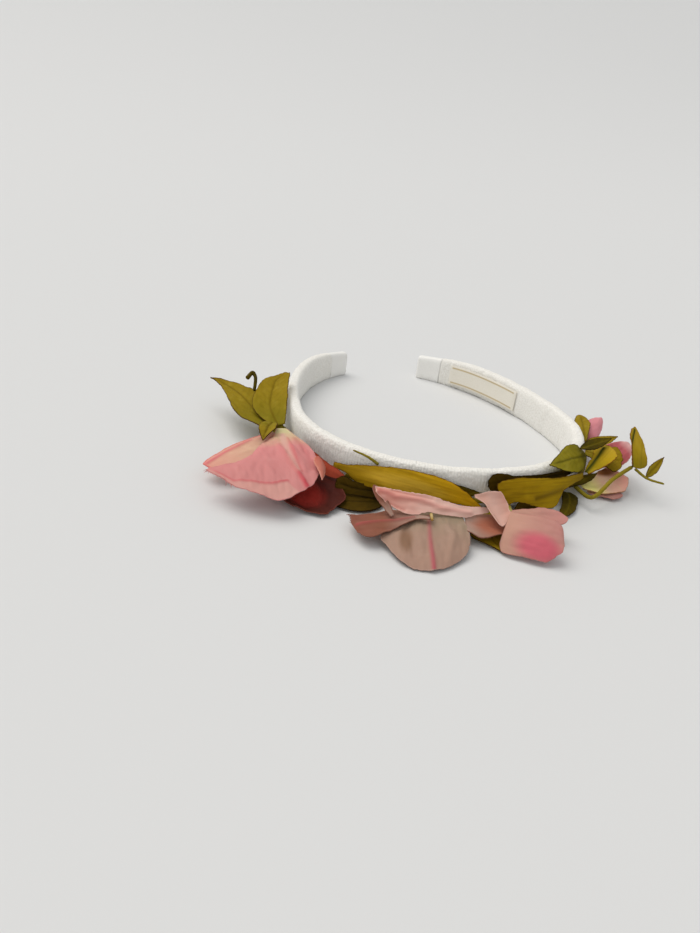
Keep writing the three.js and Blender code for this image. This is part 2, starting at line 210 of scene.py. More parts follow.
def close_tube(piece: bpy.types.Object, fill: bool = True) -> None:
    """Joins a rolled grid along its seam, closes its ends and turns its faces out.

    Args:
        piece: a grid whose first and last columns meet.
        fill: closes the ends.
    """
    bpy.ops.object.mode_set(mode="EDIT")
    bpy.ops.mesh.select_all(action="SELECT")
    bpy.ops.mesh.remove_doubles(threshold=SEAM_GAP)
    if fill:
        bpy.ops.mesh.select_all(action="SELECT")
        bpy.ops.mesh.fill_holes(sides=0)
    bpy.ops.mesh.select_all(action="SELECT")
    bpy.ops.mesh.normals_make_consistent(inside=False)
    bpy.ops.object.mode_set(mode="OBJECT")


def thicken(piece: bpy.types.Object, wall: float, offset: float) -> None:
    """Gives a sheet its thickness.

    Args:
        piece: the open sheet.
        wall: thickness in millimetres.
        offset: -1 inside the sheet, 0 on both sides, 1 outside.
    """
    bpy.ops.object.select_all(action="DESELECT")
    piece.select_set(True)
    bpy.context.view_layer.objects.active = piece
    modifier = piece.modifiers.new("cloth", "SOLIDIFY")
    modifier.thickness = wall * MM
    modifier.offset = offset
    modifier.use_even_offset = False
    bpy.ops.object.modifier_apply(modifier=modifier.name)


@dataclass(frozen=True)
class Finish:
    """What a piece is made of: the name of its material and its slot."""

    name: str
    slot: Slot

    def material(self) -> bpy.types.Material:
        """Makes the material, once.

        Returns:
            The material, the same one for every piece of this finish.
        """
        known = bpy.data.materials.get(self.name)
        if known is not None:
            return known
        made = bpy.data.materials.new(self.name)
        made.use_nodes = True
        tree = made.node_tree
        tree.nodes.clear()
        out = add_node(tree, "ShaderNodeOutputMaterial")
        tree.links.new(self.surface(tree), out.inputs["Surface"])
        return made

    def surface(self, tree: Tree) -> Socket:
        """Gives the material's surface, which each kind of cloth makes in its own way."""
        raise NotImplementedError

    @staticmethod
    def mark(tree: Tree, name: str) -> Socket:
        """Gives a named value that the piece carries at its vertices."""
        return add_node(tree, "ShaderNodeAttribute", attribute_name=name).outputs["Fac"]

    @staticmethod
    def grain(tree: Tree, where: Socket, size_mm: float, detail: float) -> Socket:
        """Gives noise whose features are about that many millimetres."""
        values = {"Scale": 1.0 / (size_mm * MM), "Detail": detail}
        return add_node(tree, "ShaderNodeTexNoise", values, {"Vector": where}).outputs["Fac"]

    @staticmethod
    def reckon(tree: Tree, operation: str, values: dict, links: dict) -> Socket:
        """Gives the result of a sum."""
        return add_node(tree, "ShaderNodeMath", values, links, operation=operation).outputs[0]

    @staticmethod
    def fit(tree: Tree, values: dict, links: dict, curve: str = "LINEAR") -> Socket:
        """Gives a value brought from one range to another."""
        return add_node(tree, "ShaderNodeMapRange", values, links, interpolation_type=curve).outputs[0]

    @staticmethod
    def over(tree: Tree, share: Socket, under: Socket, colour: str) -> Socket:
        """Lays a colour over another by a share."""
        mix = add_node(tree, "ShaderNodeMix", {7: linear(colour)}, {0: share, 6: under}, data_type="RGBA")
        return mix.outputs[2]


@dataclass(frozen=True)
class ClothFinish(Finish):
    """Dyed and stiffened cloth of a petal or leaf: matt, fine woven, with the dye deeper along creases.

    Colours run from the throat at the base over the body to the tip. The cut edge takes more dye. Some
    colour patches are dye, some painted highlight, some painted shadow; a few finishes are darker copies
    that paint shade.
    Threads are 0.2 mm apart on the real cloth. They are drawn at 0.5 mm so that they show.
    """

    throat: str
    body: str
    tip: str
    crease: str
    edge: str
    mottle: str
    blot: str = ""
    reach: Pair = (0.12, 0.55)
    edge_mm: float = 0.5
    edge_dye: float = 0.9
    mottling: float = 0.4
    roughness: float = 0.75
    uneven: float = 0.1
    sheen: float = 0.0
    glow: float = 0.06
    glow_mm: float = 1.5
    shine: float = 0.2
    cloud_mm: float = 7.0
    drift: float = 0.16
    rag_mm: float = 1.6
    thread_mm: float = 0.5
    thread_depth_mm: float = 0.06

    def surface(self, tree: Tree) -> Socket:
        """Dyes and weaves the cloth.

        Args:
            tree: the material's nodes.

        Returns:
            The surface.
        """
        where = add_node(tree, "ShaderNodeTexCoord").outputs["Object"]
        clouds = self.grain(tree, where, self.cloud_mm, 4.0)
        dyed = self.dye(tree, where, clouds)
        threads = self.grain(tree, where, self.thread_mm, 3.0)
        depth = {"Strength": 0.35, "Distance": self.thread_depth_mm * MM}
        weave = add_node(tree, "ShaderNodeBump", depth, {"Height": threads}).outputs["Normal"]
        rough = {1: 0.3, 2: 0.7, 3: self.roughness - self.uneven, 4: self.roughness + self.uneven}
        gloss = self.fit(tree, rough, {0: clouds})
        shader = add_node(
            tree,
            "ShaderNodeBsdfPrincipled",
            {
                "IOR": FIBRE_IOR,
                "Specular IOR Level": self.shine,
                "Sheen Weight": self.sheen,
                "Sheen Roughness": 0.5,
                "Subsurface Weight": self.glow,
                "Subsurface Radius": (1.0, 0.6, 0.5),
                "Subsurface Scale": self.glow_mm * MM,
            },
            {"Base Color": dyed, "Roughness": gloss, "Normal": weave},
        )
        return shader.outputs["BSDF"]

    def dye(self, tree: Tree, where: Socket, clouds: Socket) -> Socket:
        """Runs the dye from throat to tip, then into mottles, creases, colour patches (some of them
        painted light or shade) and the cut edge.

        Args:
            tree: the material's nodes.
            where: place on the piece.
            clouds: slow noise that makes the dye uneven.

        Returns:
            The colour.
        """
        along = self.mark(tree, "along")
        drift = self.reckon(tree, "MULTIPLY_ADD", {1: self.drift, 2: -self.drift / 2.0}, {0: clouds})
        place = self.reckon(tree, "ADD", {}, {0: along, 1: drift})
        ramp = add_node(tree, "ShaderNodeValToRGB", {}, {0: place})
        stops = ramp.color_ramp.elements
        stops[0].position, stops[0].color = self.reach[0], linear(self.throat)
        stops[1].position, stops[1].color = 1.0, linear(self.tip)
        stops.new(self.reach[1]).color = linear(self.body)
        mottles = self.fit(tree, {1: 0.5, 2: 0.75, 3: 0.0, 4: self.mottling}, {0: clouds}, "SMOOTHSTEP")
        colour = self.over(tree, mottles, ramp.outputs["Color"], self.mottle)
        colour = self.over(tree, self.mark(tree, "crease"), colour, self.crease)
        # Patch colour: dye on some finishes; a painted highlight on the gold leaf, painted shadow on the
        # blush petal, partly painted light on the low coral petal.
        if self.blot:
            colour = self.over(tree, self.mark(tree, "blot"), colour, self.blot)
        rim = self.mark(tree, "edge_mm")
        ragged = self.grain(tree, where, self.rag_mm, 2.0)
        width = self.reckon(tree, "MULTIPLY", {1: 2.0 * self.edge_mm}, {0: ragged})
        stained = self.fit(tree, {1: 0.0, 3: self.edge_dye, 4: 0.0}, {0: rim, 2: width}, "SMOOTHSTEP")
        return self.over(tree, stained, colour, self.edge)


@dataclass(frozen=True)
class WovenFinish(Finish):
    """Undyed woven cloth: gauze with crepe crinkles, satin ribbon, or a label with two gilt lines."""

    body: str
    # shade: colour of the painted shade laid into the grain's low places
    shade: str
    roughness: float
    sheen: float
    grain_mm: float
    rib_mm: float
    relief_mm: float
    line: str = ""
    cloud_mm: float = 9.0
    sway_mm: float = 1.6
    rib_height: float = 0.25
    hollows: float = 0.5
    uneven: float = 0.06

    def surface(self, tree: Tree) -> Socket:
        """Weaves the cloth, with ribs across its length and painted shade in its hollows.

        Args:
            tree: the material's nodes.

        Returns:
            The surface.
        """
        where = add_node(tree, "ShaderNodeTexCoord").outputs["Object"]
        clouds = self.grain(tree, where, self.cloud_mm, 3.0)
        grain = self.grain(tree, where, self.grain_mm, 2.0)
        run = self.mark(tree, "run_mm")
        sway = self.reckon(tree, "MULTIPLY_ADD", {1: self.sway_mm}, {0: clouds, 2: run})
        phase = self.reckon(tree, "MULTIPLY", {1: TURN / self.rib_mm}, {0: sway})
        ribs = self.reckon(tree, "SINE", {}, {0: phase})
        height = self.reckon(tree, "MULTIPLY_ADD", {1: self.rib_height}, {0: ribs, 2: grain})
        depth = {"Strength": 0.6, "Distance": self.relief_mm * MM}
        relief = add_node(tree, "ShaderNodeBump", depth, {"Height": height}).outputs["Normal"]
        # Painted shade: the grain's low places take the shade colour, as if shade fell into the crinkles.
        painted_hollow_shade = self.fit(tree, {1: 0.62, 2: 0.3, 3: 0.0, 4: self.hollows}, {0: grain})
        tones = {6: linear(self.body), 7: linear(self.shade)}
        colour = add_node(tree, "ShaderNodeMix", tones, {0: painted_hollow_shade}, data_type="RGBA").outputs[2]
        if self.line:
            colour = self.over(tree, self.mark(tree, "line"), colour, self.line)
        rough = {1: 0.3, 2: 0.7, 3: self.roughness - self.uneven, 4: self.roughness + self.uneven}
        gloss = self.fit(tree, rough, {0: clouds})
        shader = add_node(
            tree,
            "ShaderNodeBsdfPrincipled",
            {"IOR": FIBRE_IOR, "Sheen Weight": self.sheen, "Sheen Roughness": 0.4},
            {"Base Color": colour, "Roughness": gloss, "Normal": relief},
        )
        return shader.outputs["BSDF"]


def settle(piece: bpy.types.Object, node: str, finish: Finish) -> None:
    """Gives a piece its finish and puts it in the place of its solid.

    Args:
        piece: the finished mesh.
        node: the solid that it stands for, or nothing for a small piece with no solid of its own.
        finish: what it is made of.
    """
    piece.data.materials.clear()
    piece.data.materials.append(finish.material())
    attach(piece, "root")
    if node:
        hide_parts(node)


# Each woven finish's shade colour is painted shade in the low places of its grain.
GAUZE = WovenFinish(
    "cotton_gauze_crepe", Slot.GAUZE, body="#f4f2ec", shade="#d9d5ca",
    roughness=0.9, sheen=0.3, grain_mm=0.75, rib_mm=1.1, relief_mm=0.3,
)
SATIN = WovenFinish(
    "satin_ribbon_white", Slot.RIBBON, body="#f3f2ee", shade="#e9e7e1",
    roughness=0.4, sheen=0.2, grain_mm=0.4, rib_mm=0.6, relief_mm=0.03,
)
LABEL = WovenFinish(
    "woven_taffeta_label", Slot.LABEL, body="#efeade", shade="#e2dac6", line="#bda36a",
    roughness=0.6, sheen=0.1, grain_mm=0.4, rib_mm=0.5, relief_mm=0.05,
)

LEAF_OLIVE = ClothFinish(
    "waxed_cotton_leaf_olive", Slot.LEAF, throat="#7d7014", body="#907a16", tip="#8c7412",
    crease="#6b5704", edge="#40200a", mottle="#a48f34", mottling=0.5, edge_mm=0.35, shine=0.08,
)
LEAF_BROAD = ClothFinish(
    "waxed_cotton_leaf_broad", Slot.LEAF, throat="#8a7006", body="#a08008", tip="#927206",
    crease="#6b5204", edge="#40200a", mottle="#ac8c18", mottling=0.5, edge_mm=0.35, shine=0.1,
)
# LEAF_GOLD's patch colour is a painted highlight along the lit middle of the front leaf, and its tip
# colour is lightened as painted light where that end lies in shade.
LEAF_GOLD = ClothFinish(
    "waxed_cotton_leaf_gold", Slot.LEAF, throat="#8a6c06", body="#a6820c", tip="#cc9a0c", blot="#ba962c",
    crease="#806004", edge="#4e2608", mottle="#bf9a22", reach=(0.08, 0.5), mottling=0.5, edge_mm=0.4,
    shine=0.1,
)
LEAF_GREEN = ClothFinish(
    "waxed_cotton_leaf_green", Slot.LEAF, throat="#6a6210", body="#92851c", tip="#968820",
    crease="#54500c", edge="#3a3008", mottle="#a69a38", mottling=0.5, edge_mm=0.35, shine=0.08,
)
LEAF_RIBBED = ClothFinish(
    "waxed_cotton_leaf_ribbed", Slot.LEAF, throat="#8f7c0a", body="#ac8f16", tip="#b3942a",
    crease="#3c400a", edge="#7c4c14", mottle="#c0a434", mottling=0.5, edge_mm=0.4, shine=0.08,
)
LEAF_DARK = ClothFinish(
    "waxed_cotton_leaf_dark", Slot.LEAF_DARK, throat="#3a3208", body="#4a3e08", tip="#55460a",
    crease="#685a10", edge="#24140a", mottle="#64560f", mottling=0.5, edge_mm=0.35, shine=0.06,
)
# Darker copy of the leaf cloth for leaves that lie in shade under and behind the others: painted shade.
LEAF_SHADE = ClothFinish(
    "waxed_cotton_leaf_painted_shade", Slot.LEAF_DARK, throat="#2c2106", body="#46350a", tip="#4a380b",
    crease="#2c2006", edge="#22140a", mottle="#54400e", mottling=0.6, edge_mm=0.35, shine=0.04,
)
ROSE = ClothFinish(
    "habotai_silk_rose", Slot.PETAL_ROSE, throat="#cdc192", body="#d58886", tip="#c98682",
    crease="#c2424c", edge="#cf8b88", mottle="#dc9894", blot="#d3a698", reach=(0.1, 0.42), edge_mm=0.5,
)
ROSE_FLAP = ClothFinish(
    "habotai_silk_rose_flap", Slot.PETAL_ROSE, throat="#b5604e", body="#bf7160", tip="#b86a58",
    crease="#a84c40", edge="#d0907e", mottle="#c67e6e", edge_mm=0.5,
)
ROSE_STRIP = ClothFinish(
    "habotai_silk_cream_strip", Slot.PETAL_CREAM, throat="#d09a88", body="#d6a88f", tip="#d99a88",
    crease="#d9777a", edge="#d66f6c", mottle="#e3c3a2", edge_mm=0.9,
)
CORAL = ClothFinish(
    "habotai_silk_coral", Slot.PETAL_CORAL, throat="#b04b32", body="#bb5036", tip="#b04b34",
    crease="#c86a52", edge="#7c2f1c", mottle="#bf5a40", edge_mm=0.4,
)
# Darker copy of the coral silk for the low petal, which lies in the top petal's shade: painted shade. Its
# red patch is partly the petal's own red fold and partly painted light that lifts the shade under the top
# petal.
CORAL_PAINTED_SHADE = ClothFinish(
    "habotai_silk_coral_painted_shade", Slot.PETAL_CORAL, throat="#5a1c10", body="#48150c", tip="#4b1a0f",
    crease="#32110d", edge="#723a2e", mottle="#551f15", blot="#a8342a", edge_mm=0.5,
)
# BLUSH's patch colour is painted shadow: the tan shade that the left petal casts on the low petal.
BLUSH = ClothFinish(
    "habotai_silk_blush", Slot.PETAL_BLUSH, throat="#968870", body="#a58775", tip="#a88675",
    crease="#b05a60", edge="#b39284", mottle="#b89a8a", blot="#8a6a54", reach=(0.08, 0.5), edge_mm=0.4,
)
BLUSH_DEEP = ClothFinish(
    "habotai_silk_blush_deep", Slot.PETAL_BLUSH, throat="#a5887a", body="#8a5844", tip="#845040",
    crease="#a4504c", edge="#8a5c4c", mottle="#9c6c5a", blot="#a3634c", reach=(0.12, 0.6), edge_mm=0.4,
)
LIP = ClothFinish(
    "habotai_silk_pale_rose", Slot.PETAL_ROSE, throat="#e6c0b2", body="#e6b8aa", tip="#dc9484",
    crease="#bd6a62", edge="#e8bcae", mottle="#eec8bb", mottling=0.6, edge_mm=0.6,
)
# Darker copy of the pale rose silk for the right petal's shaded inside: painted shade.
LIP_SHADE = ClothFinish(
    "habotai_silk_pale_rose_painted_shade", Slot.PETAL_ROSE, throat="#c69a8a", body="#cfa597", tip="#c69282",
    crease="#bd6a62", edge="#d6ac9e", mottle="#dab4a6", mottling=0.6, edge_mm=0.6,
)
PINK = ClothFinish(
    "habotai_silk_pink", Slot.PETAL_ROSE, throat="#c09280", body="#bb877b", tip="#c0857e",
    crease="#cf5f70", edge="#b97c72", mottle="#c99a8c", blot="#cf6672", edge_mm=0.4,
)
THROAT = ClothFinish(
    "habotai_silk_throat", Slot.PETAL_CREAM, throat="#f2e68c", body="#efbfa5", tip="#e8a094",
    crease="#98684a", edge="#a8764c", mottle="#e6dab4", blot="#9a6238", reach=(0.18, 0.45), edge_mm=0.4,
)
BUD = ClothFinish(
    "habotai_silk_bud", Slot.PETAL_ROSE, throat="#8c5136", body="#cf8088", tip="#d88f94",
    crease="#b95468", edge="#c8747e", mottle="#df9aa0", reach=(0.12, 0.5), edge_mm=0.4,
)
BUD_PALE = ClothFinish(
    "habotai_silk_bud_pale", Slot.PETAL_ROSE, throat="#8c5136", body="#c2646a", tip="#e6bab6",
    crease="#b95468", edge="#d89a9a", mottle="#d28086", reach=(0.15, 0.8), edge_mm=0.4,
)
TAPE = ClothFinish(
    "floral_tape_olive", Slot.STEM, throat="#7c701a", body="#8d7d20", tip="#80721c",
    crease="#5c5212", edge="#6a5e16", mottle="#9d8e30", edge_mm=0.01, shine=0.1,
)
CALYX = ClothFinish(
    "floral_tape_calyx", Slot.CALYX, throat="#857a1e", body="#a29436", tip="#cdbf8c",
    crease="#6f641a", edge="#8a783a", mottle="#b3a658", edge_mm=0.3, shine=0.1,
)
STAMEN = ClothFinish(
    "wax_dipped_stamen", Slot.CALYX, throat="#b09a60", body="#c4ac74", tip="#a88444",
    crease="#c2a04f", edge="#c9b06a", mottle="#e6d7a6", edge_mm=0.01, roughness=0.4,
)


@dataclass(frozen=True)
class BandPath:
    """Plan curve of the band's middle: two half ellipses that meet at the temples, from the crown."""

    side: float = 63.0
    crown: float = 58.5
    arm: float = 97.0

    def point(self, angle: float, out: float, up: float) -> Vector:
        """Gives a point beside the band.

        Args:
            angle: degrees from the crown, positive to the right.
            out: millimetres outward from the middle of the band.
            up: millimetres above the floor.

        Returns:
            The point in millimetres.
        """
        t = math.radians(angle)
        depth = self.crown if math.cos(t) > 0.0 else self.arm
        across = Vector((depth * math.sin(t), -self.side * math.cos(t))).normalized()
        x = self.side * math.sin(t) + across.x * out
        y = self.crown - depth * math.cos(t) + across.y * out
        return Vector((x, y, up))

    def run(self, angle: float) -> float:
        """Measures along the band's middle from the crown.

        Args:
            angle: degrees from the crown, positive to the right.

        Returns:
            Millimetres, with the angle's sign.
        """
        steps = max(1, round(abs(angle)))
        points = [self.point(angle * i / steps, 0.0, 0.0) for i in range(steps + 1)]
        length = sum((b - a).length for a, b in zip(points, points[1:]))
        return math.copysign(length, angle)


@dataclass(frozen=True)
class Band:
    """Padded band, wound with a strip of gauze whose turns overlap and whose crepe crinkles.

    Sizes are in millimetres and angles in degrees from the crown. Ribs, folds and pebbles of the crepe
    have a size along the band and one round it.
    """

    path: BandPath
    thickness: float = 6.0
    crown_width: float = 15.5
    tip_width: float = 12.8
    taper_from: float = 132.0
    end_angle: float = 160.0
    rest_flat: float = 0.5
    roundness: float = 3.4
    cap_from: float = 148.5
    tucked: float = 1.2
    tuck_share: float = 0.85
    tuck_step: float = 0.05
    turn_mm: float = 19.0
    turn_step: float = 0.16
    turn_rise: float = 0.12
    turn_drift: float = 0.3
    drift_mm: float = 34.0
    sunk: float = 0.12
    girth: float = 40.0
    crinkle: float = 0.17
    rib_mm: Pair = (1.3, 6.0)
    fold_mm: Pair = (6.0, 11.0)
    pebble_mm: Pair = (1.2, 1.5)
    cap_gap: float = 0.2
    cap_blend: float = 3.0
    columns: int = 84
    rows: int = 900

    def width(self, angle: float) -> float:
        """Gives the width of the strip at an angle."""
        share = ease(self.taper_from, self.end_angle, abs(angle))
        return self.crown_width + (self.tip_width - self.crown_width) * share

    def section(self, angle: float, theta: float, inset: float) -> Vector:
        """Gives a point on the rounded section, flattened below where it rests.

        Args:
            angle: degrees from the crown.
            theta: turn round the section, from the outer face upwards.
            inset: millimetres inside the surface.

        Returns:
            The point in millimetres.
        """
        power = 2.0 / self.roundness
        level = math.copysign(abs(math.cos(theta)) ** power, math.cos(theta))
        rise = math.copysign(abs(math.sin(theta)) ** power, math.sin(theta))
        height = self.width(angle) - 2.0 * inset
        raw = -self.rest_flat + (height + self.rest_flat) * (0.5 + 0.5 * rise)
        out = (self.thickness / 2.0 - inset) * level
        return self.path.point(angle, out, max(0.0, inset + max(0.0, raw)))

    def relief(self, run: float, theta: float) -> float:
        """Gives how far the gauze stands out, from its wound turns and its crinkles.

        Args:
            run: millimetres along the band.
            theta: turn round the section.

        Returns:
            Millimetres outward.
        """
        drift = self.turn_drift * bumpy(run / self.drift_mm, 0.0, Seed.TURNS.value)
        phase = (run / self.turn_mm + drift - theta / TURN) % 1.0
        lap = self.turn_step * (1.0 - phase) * ease(0.0, self.turn_rise, phase)
        girth = theta / TURN * self.girth
        ribs = bumpy(run / self.rib_mm[0], girth / self.rib_mm[1], Seed.RIBS.value)
        folds = bumpy(run / self.fold_mm[0], girth / self.fold_mm[1], Seed.FOLDS.value)
        pebbles = bumpy(run / self.pebble_mm[0], girth / self.pebble_mm[1], Seed.PEBBLES.value)
        return lap - self.sunk + self.crinkle * (0.6 * ribs + 0.9 * folds + 0.9 * pebbles)

    def build(self) -> bpy.types.Object:
        """Models the wound band, whose ends go into the caps.

        Returns:
            The closed band.
        """
        mouth = self.cap_from - self.cap_gap
        end = self.end_angle - self.tucked * self.tuck_share
        tucks = (mouth + self.tuck_step, (mouth + end) / 2.0, end)
        steps = self.rows - 2 * len(tucks)
        rows = [(-mouth + 2.0 * mouth * i / steps, 0.0) for i in range(steps + 1)]
        for angle in tucks:
            rows.append((angle, self.tucked))
            rows.insert(0, (-angle, self.tucked))
        runs = [self.path.run(angle) for angle, _ in rows]
        brink = self.path.run(mouth)

        def place(x: float, y: float) -> Vector:
            """Wraps the grid round the section.

            Args:
                x: share round the section.
                y: share along the band.

            Returns:
                The point in millimetres.
            """
            k = round(y * self.rows)
            angle, inset = rows[k]
            theta = TURN * x
            if inset == 0.0:
                near = ease(0.0, self.cap_blend, brink - abs(runs[k]))
                inset = -self.relief(runs[k], theta % TURN) * near
            return self.section(angle, theta, inset)

        def marks(x: float, y: float) -> dict[str, float]:
            """Gives the length along the band to the finish."""
            return {"run_mm": runs[round(y * self.rows)]}

        piece = modelled("band_wrap", self.columns, self.rows, place, marks)
        close_tube(piece)
        return piece

    def dress(self, piece: bpy.types.Object) -> None:
        """Gives the band its gauze.

        Args:
            piece: the modelled band.
        """
        settle(piece, "band", GAUZE)
        tell(piece, "padded band")


@dataclass(frozen=True)
class TipCap:
    """Ribbon folded over an end of the band, with rounded corners and a lap along its inner face.

    A corner is given by degrees before the end and millimetres inside the surface.
    """

    node: str
    side: Side
    band: Band
    lap: float = 0.25
    crumple: float = 0.1
    wall: float = 0.4
    ribbon_mm: float = 34.0
    corner_from: float = 1.2
    corner: tuple[Pair, ...] = (
        (0.7, 0.12), (0.35, 0.35), (0.1, 0.75), (0.0, 1.3), (0.0, 1.9), (0.0, 2.4), (0.0, 2.85),
    )
    columns: int = 64
    body_rows: int = 24

    def build(self) -> bpy.types.Object:
        """Models the folded ribbon.

        Returns:
            The cap with its thickness.
        """
        band = self.band
        mouth, end, sign = band.cap_from, band.end_angle, self.side.value
        body = end - self.corner_from - mouth
        profile = [(mouth + body * i / self.body_rows, 0.0) for i in range(self.body_rows + 1)]
        profile += [(end - before, inset) for before, inset in self.corner]
        rows = len(profile) - 1

        def place(x: float, y: float) -> Vector:
            """Wraps the grid round the end of the band.

            Args:
                x: share round the section.
                y: share along the cap.

            Returns:
                The point in millimetres.
            """
            angle, inset = profile[round(y * rows)]
            theta = TURN * x
            run = band.path.run(angle)
            seam = self.lap * ease(0.0, 0.02, x - 0.52) * ease(0.0, 0.3, 0.9 - x)
            crumple = self.crumple * bumpy(run / 4.0, theta * 1.5, Seed.CAP.value + sign)
            return band.section(sign * angle, theta, inset - crumple - seam + self.lap / 2.0)

        def marks(x: float, y: float) -> dict[str, float]:
            """Gives the length along the ribbon to the finish."""
            return {"run_mm": self.ribbon_mm * x}

        piece = modelled(f"{self.node}_ribbon", self.columns, rows, place, marks)
        close_tube(piece, fill=False)
        thicken(piece, self.wall, -1.0)
        return piece

    def dress(self, piece: bpy.types.Object) -> None:
        """Args:
            piece: the modelled cap.
        """
        settle(piece, self.node, SATIN)
        tell(piece, "ribbon cap")


@dataclass(frozen=True)
class WovenLabel:
    """Plain woven label along the inner face of the right arm, with two metallic edge lines."""

    path: BandPath
    band: Band
    from_angle: float = 111.0
    to_angle: float = 143.0
    width: float = 10.5
    wall: float = 0.45
    off_face: float = 3.75
    line_at: float = 0.78
    line_mm: float = 0.45
    end_dip: float = 0.35
    edge_dip: float = 0.12
    wave: float = 0.12
    columns: int = 28
    rows: int = 120

    def build(self) -> bpy.types.Object:
        """Models the label.

        Returns:
            The label with its thickness.
        """
        start, end = self.from_angle, self.to_angle
        length = self.path.run(end) - self.path.run(start)

        def place(x: float, y: float) -> Vector:
            """Bends the label along the inner face.

            Args:
                x: share across the label.
                y: share along it.

            Returns:
                The point in millimetres.
            """
            angle = start + (end - start) * y
            run = y * length
            ends = self.end_dip * (1.0 - ease(0.0, 1.5, min(run, length - run)))
            edges = self.edge_dip * ease(0.8, 1.0, abs(2.0 * x - 1.0))
            wave = self.wave * bumpy(run / 8.0, x * 2.0, Seed.LABEL.value)
            up = self.band.width(angle) / 2.0 + (x - 0.5) * self.width
            return self.path.point(angle, -self.off_face + ends + edges + wave, up)

        def marks(x: float, y: float) -> dict[str, float]:
            """Gives the finish its length and where the metallic lines run.

            Args:
                x: share across the label.
                y: share along it.

            Returns:
                Values by name.
            """
            off = abs(abs(2.0 * x - 1.0) - self.line_at) * self.width / 2.0
            run = y * length
            inside = ease(1.2, 1.6, min(run, length - run))
            return {"run_mm": run, "line": inside * (1.0 - ease(0.5, 1.0, off / self.line_mm))}

        piece = modelled("label_weave", self.columns, self.rows, place, marks)
        thicken(piece, self.wall, 0.0)
        return piece

    def dress(self, piece: bpy.types.Object) -> None:
        """Args:
            piece: the modelled label.
        """
        settle(piece, "label", LABEL)
        length = (self.path.run(self.to_angle) - self.path.run(self.from_angle)) * MM
        tell(piece, "label")


def grown(heading: float, pitch: float) -> tuple[Vector, Vector]:
    """Works out where something grows.

    Args:
        heading: degrees in plan, from +X.
        pitch: degrees upwards.

    Returns:
        The direction of growth and the level direction to its right.
    """
    h, p = math.radians(heading), math.radians(pitch)
    along = Vector((math.cos(p) * math.cos(h), math.cos(p) * math.sin(h), math.sin(p)))
    return along, Vector((math.sin(h), -math.cos(h), 0.0))


def smooth_path(points: list[Vector], samples: int) -> list[Vector]:
    """Draws a smooth line through points, with even corners.

    Args:
        points: what the line passes through.
        samples: points in each stretch.

    Returns:
        Points along the line.
    """
    ends = [points[0] * 2.0 - points[1], *points, points[-1] * 2.0 - points[-2]]
    line = []
    for a, b, c, d in zip(ends, ends[1:], ends[2:], ends[3:]):
        t0, t1, t2 = (max(1e-6, (q - p).length ** 0.5) for p, q in ((a, b), (b, c), (c, d)))
        into = ((b - a) / t0 - (c - a) / (t0 + t1) + (c - b) / t1) * t1
        away = ((c - b) / t1 - (d - b) / (t1 + t2) + (d - c) / t2) * t1
        for i in range(samples):
            t = i / samples
            line.append(
                b * (2 * t**3 - 3 * t**2 + 1)
                + into * (t**3 - 2 * t**2 + t)
                + c * (-2 * t**3 + 3 * t**2)
                + away * (t**3 - t**2)
            )
    line.append(points[-1].copy())
    return line


@dataclass(frozen=True)
class Stem:
    """Wire stem wound with tape, whose turns show as low ridges.

    Each station of its route is an angle along the band, out and up.
    """

    path: BandPath
    node: str
    radius: float
    via: tuple[Triple, ...]
    finish: ClothFinish = TAPE
    taper: float = 0.0
    turn_mm: float = 2.6
    ridge: float = 0.1
    tip_mm: float = 0.6
    samples: int = 14
    columns: int = 14

    def build(self) -> bpy.types.Object:
        """Models the stem along its route.

        Returns:
            The closed stem.
        """
        line = smooth_path([self.path.point(*station) for station in self.via], self.samples)
        rows = len(line) - 1
        ways = [(line[min(i + 1, rows)] - line[max(i - 1, 0)]).normalized() for i in range(rows + 1)]
        side = ways[0].orthogonal().normalized()
        sides, runs = [], []
        for i, way in enumerate(ways):
            side = (side - way * side.dot(way)).normalized()
            sides.append(side)
            runs.append(runs[-1] + (line[i] - line[i - 1]).length if i else 0.0)

        def place(x: float, y: float) -> Vector:
            """Rolls the grid round the route.

            Args:
                x: share round the stem.
                y: share along it.

            Returns:
                The point in millimetres.
            """
            k = round(y * rows)
            theta = TURN * x
            phase = (runs[k] / self.turn_mm + x) % 1.0
            thick = self.radius * (1.0 - self.taper * y + self.ridge * (0.5 - phase))
            thick *= 0.5 + 0.5 * ease(0.0, self.tip_mm, min(runs[k] + 0.2, runs[-1] - runs[k] + 0.2))
            across = sides[k] * math.cos(theta) + ways[k].cross(sides[k]) * math.sin(theta)
            return line[k] + across * thick

        def marks(x: float, y: float) -> dict[str, float]:
            """Gives the finish its place along the stem and the edge of each turn of tape."""
            phase = (runs[round(y * rows)] / self.turn_mm + x) % 1.0
            return {"along": y, "crease": 0.5 * (1.0 - ease(0.0, 0.2, phase)), "edge_mm": 1.0}

        piece = modelled(f"{self.node}_tape", self.columns, rows, place, marks)
        close_tube(piece)
        return piece

    def dress(self, piece: bpy.types.Object) -> None:
        """Gives the stem its tape."""
        settle(piece, self.node, self.finish)
        tell(piece, "stem")


